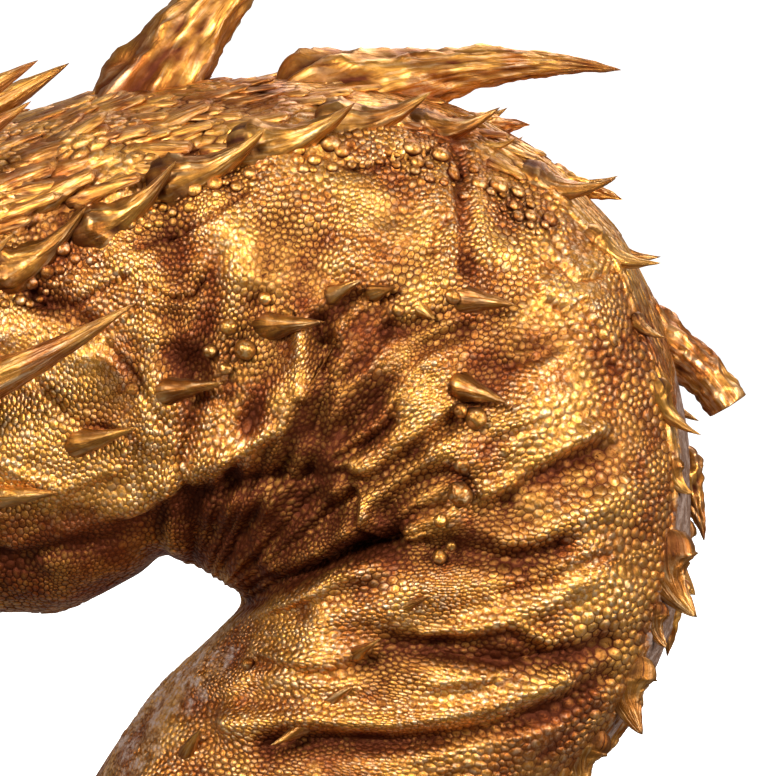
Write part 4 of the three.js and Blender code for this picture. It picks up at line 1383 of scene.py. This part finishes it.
@dataclass(frozen=True)
class Gilding:
    """Gold leaf paint over cast resin: flake in the paint, brown wash in the grooves, dry-brushed tops, spots
    of painted shade and highlight, and bare resin that low on the throat paints a reflected sheen.
    """

    name: str = "gold_leaf_paint_on_resin"
    deep: str = "A24F18"
    bright: str = "EAA648"
    pale: str = "FFE8C0"
    wash: str = "522004"
    roughness: float = 0.34
    washed: float = 0.92  # how far the wash covers the grooves
    resin: str = "5A3C2A"  # where no gold is left, and low on the throat as a painted reflected sheen
    # grey dust on bare resin, which low on the throat is a painted reflected sheen
    resin_dust_and_sheen: str = "A08A7E"

    def make(self) -> bpy.types.Material:
        """Builds the material."""
        material = bpy.data.materials.new(self.name)
        material.use_nodes = True
        tree = material.node_tree
        place = add_node(tree, "ShaderNodeTexCoord").outputs["Object"]
        wear = add_node(tree, "ShaderNodeAttribute", {"attribute_name": "wear"})
        top, fold, each = add_node(tree, "ShaderNodeSeparateColor", {0: wear.outputs["Color"]}).outputs

        def ranged(source: Socket, low: float, high: float, first: float, last: float) -> Socket:
            """Maps a value from low..high to first..last."""
            return add_node(tree, "ShaderNodeMapRange", {
                "From Min": low, "From Max": high, "To Min": first, "To Max": last, 0: source}).outputs[0]

        def noise(size: float, detail: float, roughness: float, at: Socket = place,
                  bent: float = 0.0) -> Socket:
            """Value of a noise whose waves are of the given size."""
            return add_node(tree, "ShaderNodeTexNoise", {
                "Scale": 1 / size, "Detail": detail, "Roughness": roughness, "Distortion": bent,
                "Vector": at}).outputs[0]

        def maths(operation: str, *values: Socket | float, clamp: bool = False) -> Socket:
            """Result of an operation."""
            return add_node(tree, "ShaderNodeMath", {
                "operation": operation, "use_clamp": clamp, **dict(enumerate(values))}).outputs[0]

        def mix(share: Socket | float, first: Socket | tuple, second: Socket | tuple,
                blend: str = "MIX") -> Socket:
            """Colour between two."""
            return add_node(tree, "ShaderNodeMix", {
                "data_type": "RGBA", "blend_type": blend, 0: share, 6: first, 7: second}).outputs[2]

        cloud = noise(0.014, 5.0, 0.65)
        brush = noise(0.0035, 4.0, 0.75)
        lie = add_node(tree, "ShaderNodeAttribute", {"attribute_name": "grain"}).outputs["Vector"]
        streak = noise(1.25, 6.0, 0.62, lie, 0.6)
        # Gold, brighter on raised folds and where a highlight is painted in the spots
        body = ranged(cloud, 0.41, 0.61, 0.0, 0.85)
        share = maths("ADD", body, ranged(fold, -1.2, 2.2, 0.0, 0.6), clamp=True)
        gold = mix(share, srgb(self.deep), srgb(self.bright))
        gold = mix(1.0, gold, ranged(each, 0, 1, 0.74, 1.2), "MULTIPLY")
        # Pale tops, paler where a highlight is painted in the spots
        lit = maths("MULTIPLY", ranged(streak, 0.48, 0.64, 0.0, 0.78), top)
        rub = maths("MULTIPLY", lit, ranged(fold, -1.6, 1.8, 0.15, 1.0))
        dry = mix(rub, gold, srgb(self.pale))
        # Brown wash in grooves and folds, and painted shade in the spots
        groove = ranged(top, 0.1, 0.95, self.washed, 0.0)
        hollow = ranged(fold, 0.6, -3.2, 0.0, 0.85)
        some = maths("MULTIPLY", hollow, ranged(cloud, 0.3, 0.62, 1.15, 0.65))
        nicks = ranged(streak, 0.5, 0.34, 0.0, 0.7)
        cover = maths("ADD", maths("MAXIMUM", groove, nicks), some, clamp=True)
        colour = mix(cover, dry, srgb(self.wash))
        # Bare resin where the gilding is worn off, and low on the throat as a painted grey sheen of reflected
        # light
        grey_dust_and_sheen = ranged(brush, 0.46, 0.72, 0.0, 1.0)
        resin = mix(grey_dust_and_sheen, srgb(self.resin), srgb(self.resin_dust_and_sheen))
        bare_and_sheen_share = ranged(maths("MULTIPLY_ADD", brush, 1.5, wear.outputs["Alpha"]), 1.15, 1.4, 0.0, 0.95)
        metal = maths("SUBTRACT", ranged(cover, 0, 1, 1.0, 0.8), bare_and_sheen_share, clamp=True)
        rough = maths("MULTIPLY_ADD", bare_and_sheen_share, 0.3, ranged(cover, 0, 1, self.roughness, 0.6))
        cut = add_node(tree, "ShaderNodeBump", {"Strength": 1.0, "Distance": 0.00028, "Height": streak})
        bump = add_node(tree, "ShaderNodeBump", {
            "Strength": 0.7, "Distance": 0.00012, "Height": noise(0.0006, 3.0, 0.5),
            "Normal": cut.outputs[0]})
        shader = tree.nodes["Principled BSDF"]
        for socket, source in (("Base Color", mix(bare_and_sheen_share, colour, resin)), ("Metallic", metal),
                               ("Roughness", rough), ("Normal", bump.outputs[0])):
            tree.links.new(source, shader.inputs[socket])
        return material


class Studio:
    """Plain pale floor and backdrop, soft light and the camera."""

    FRAME_MM = 194  # width of the view at the middle of the neck
    LENS = 180
    AZIMUTH = 4
    ELEVATION = 4
    SENSOR = 36
    FAR_CLIP = 100
    AIM = (29.5, 0, 155.5)
    PAPER_GLOW = 0.85
    PAPER_RADIUS = 4  # metres
    PAPER_SINK = 0.0002  # metres that the floor lies under the foot
    WORLD_GLOW = 0.28
    # Name, place in metres, side in metres and watts of each light
    LIGHTS = (("key", (-0.55, -1.1, 0.8), 0.36, 23), ("side", (1.1, -0.8, 0.5), 0.36, 22),
              ("back", (0.3, 0.9, 1.2), 1.0, 16))
    LIT_POINT = (0.0, 0, 0.15)

    def build(self) -> None:
        """Makes the floor, backdrop, lights and camera."""
        white = bpy.data.materials.new("white_paper")
        white.use_nodes = True
        shader = white.node_tree.nodes["Principled BSDF"]
        shader.inputs["Base Color"].default_value = srgb("F2F2F2")
        shader.inputs["Roughness"].default_value = 0.9
        shader.inputs["Emission Color"].default_value = (1, 1, 1, 1)
        shader.inputs["Emission Strength"].default_value = self.PAPER_GLOW
        bpy.ops.object.select_all(action="DESELECT")
        bpy.ops.mesh.primitive_cylinder_add(vertices=96, radius=self.PAPER_RADIUS,
                                            depth=2 * self.PAPER_RADIUS, end_fill_type="NGON",
                                            location=(0, 0, self.PAPER_RADIUS - self.PAPER_SINK))
        paper = bpy.context.object
        paper.name = "paper_sweep"
        bpy.ops.object.mode_set(mode="EDIT")
        bpy.ops.mesh.select_all(action="SELECT")
        bpy.ops.mesh.flip_normals()
        bpy.ops.object.mode_set(mode="OBJECT")
        paper.data.materials.append(white)
        paper.visible_glossy = False
        paper.visible_diffuse = False
        world = bpy.data.worlds.new("studio")
        bpy.context.scene.world = world
        world.use_nodes = True
        background = world.node_tree.nodes["Background"]
        background.inputs["Color"].default_value = (1, 1, 1, 1)
        background.inputs["Strength"].default_value = self.WORLD_GLOW
        for light in self.LIGHTS:
            self.light(*light)
        self.camera()

    def light(self, name: str, place: tuple, size: float, power: float) -> None:
        """Adds a square soft light that faces the bust.

        Args:
            name: Name of the light.
            place: Where it hangs, in metres.
            size: Side of the light, in metres.
            power: Watts.
        """
        data = bpy.data.lights.new(name, "AREA")
        data.size = size
        data.energy = power
        lamp = bpy.data.objects.new(name, data)
        lamp.location = place
        way = Vector(self.LIT_POINT) - Vector(place)
        lamp.rotation_euler = way.to_track_quat("-Z", "Y").to_euler()
        bpy.context.collection.objects.link(lamp)

    def camera(self) -> None:
        """Places the camera for the photograph's view."""
        data = bpy.data.cameras.new("camera")
        data.lens = self.LENS
        data.sensor_width = self.SENSOR
        data.clip_end = self.FAR_CLIP
        camera = bpy.data.objects.new("camera", data)
        a = self.AZIMUTH * DEGREE
        e = self.ELEVATION * DEGREE
        back = Vector((math.sin(a) * math.cos(e), -math.cos(a) * math.cos(e), math.sin(e)))
        distance = self.FRAME_MM * self.LENS / self.SENSOR * MM
        camera.location = Vector(self.AIM) * MM + back * distance
        camera.rotation_euler = (-back).to_track_quat("-Z", "Y").to_euler()
        bpy.context.collection.objects.link(camera)
        bpy.context.scene.camera = camera


def main() -> None:
    """Builds the bust and the studio."""
    scene = bpy.context.scene
    scene.view_settings.view_transform = "Standard"
    gold = Gilding().make()
    pieces = [
        ScaledSkin("neck_skin_foot", (0, 5.6), (-1, 180), 1.42, 21, seen=True).build(gold),
        ScaledSkin("neck_skin_bend", (5.6, 10.4), (-1, 180), 1.42, 25, seen=True).build(gold),
        ScaledSkin("neck_skin_nape", (10.4, NECK_END), (-1, 180), 1.42, 26, seen=True).build(gold),
        ScaledSkin("neck_skin_far", (0, NECK_END), (-1, 180), 2.9, 22, far=True).build(gold),
        ScaledSkin("back_band", (0, NECK_END), (0, 4), 1.7, 23, stretch=3.0, lift=0.8, sink=1.2,
                   band=True).build(gold),
        ScaledSkin("head_skin_near", (HEAD_START, LAST_STATION), (0, 180), 2.5, 24, lift=0.7,
                   sink=1.6).build(gold),
        ScaledSkin("head_skin_far", (HEAD_START, LAST_STATION), (0, 180), 2.5, 24, lift=0.7, sink=1.6,
                   far=True).build(gold),
    ]
    for piece in pieces:
        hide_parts(NODE)
    horn = Gilding("worn_gold_over_horn", deep="945018", bright="D6963F", pale="FFE2AC", wash="421C06",
                   roughness=0.3, washed=0.85).make()
    NeckArms().build(gold, horn)
    Head().build(gold, horn)
    Studio().build()


if __name__ == "__main__":
    main()
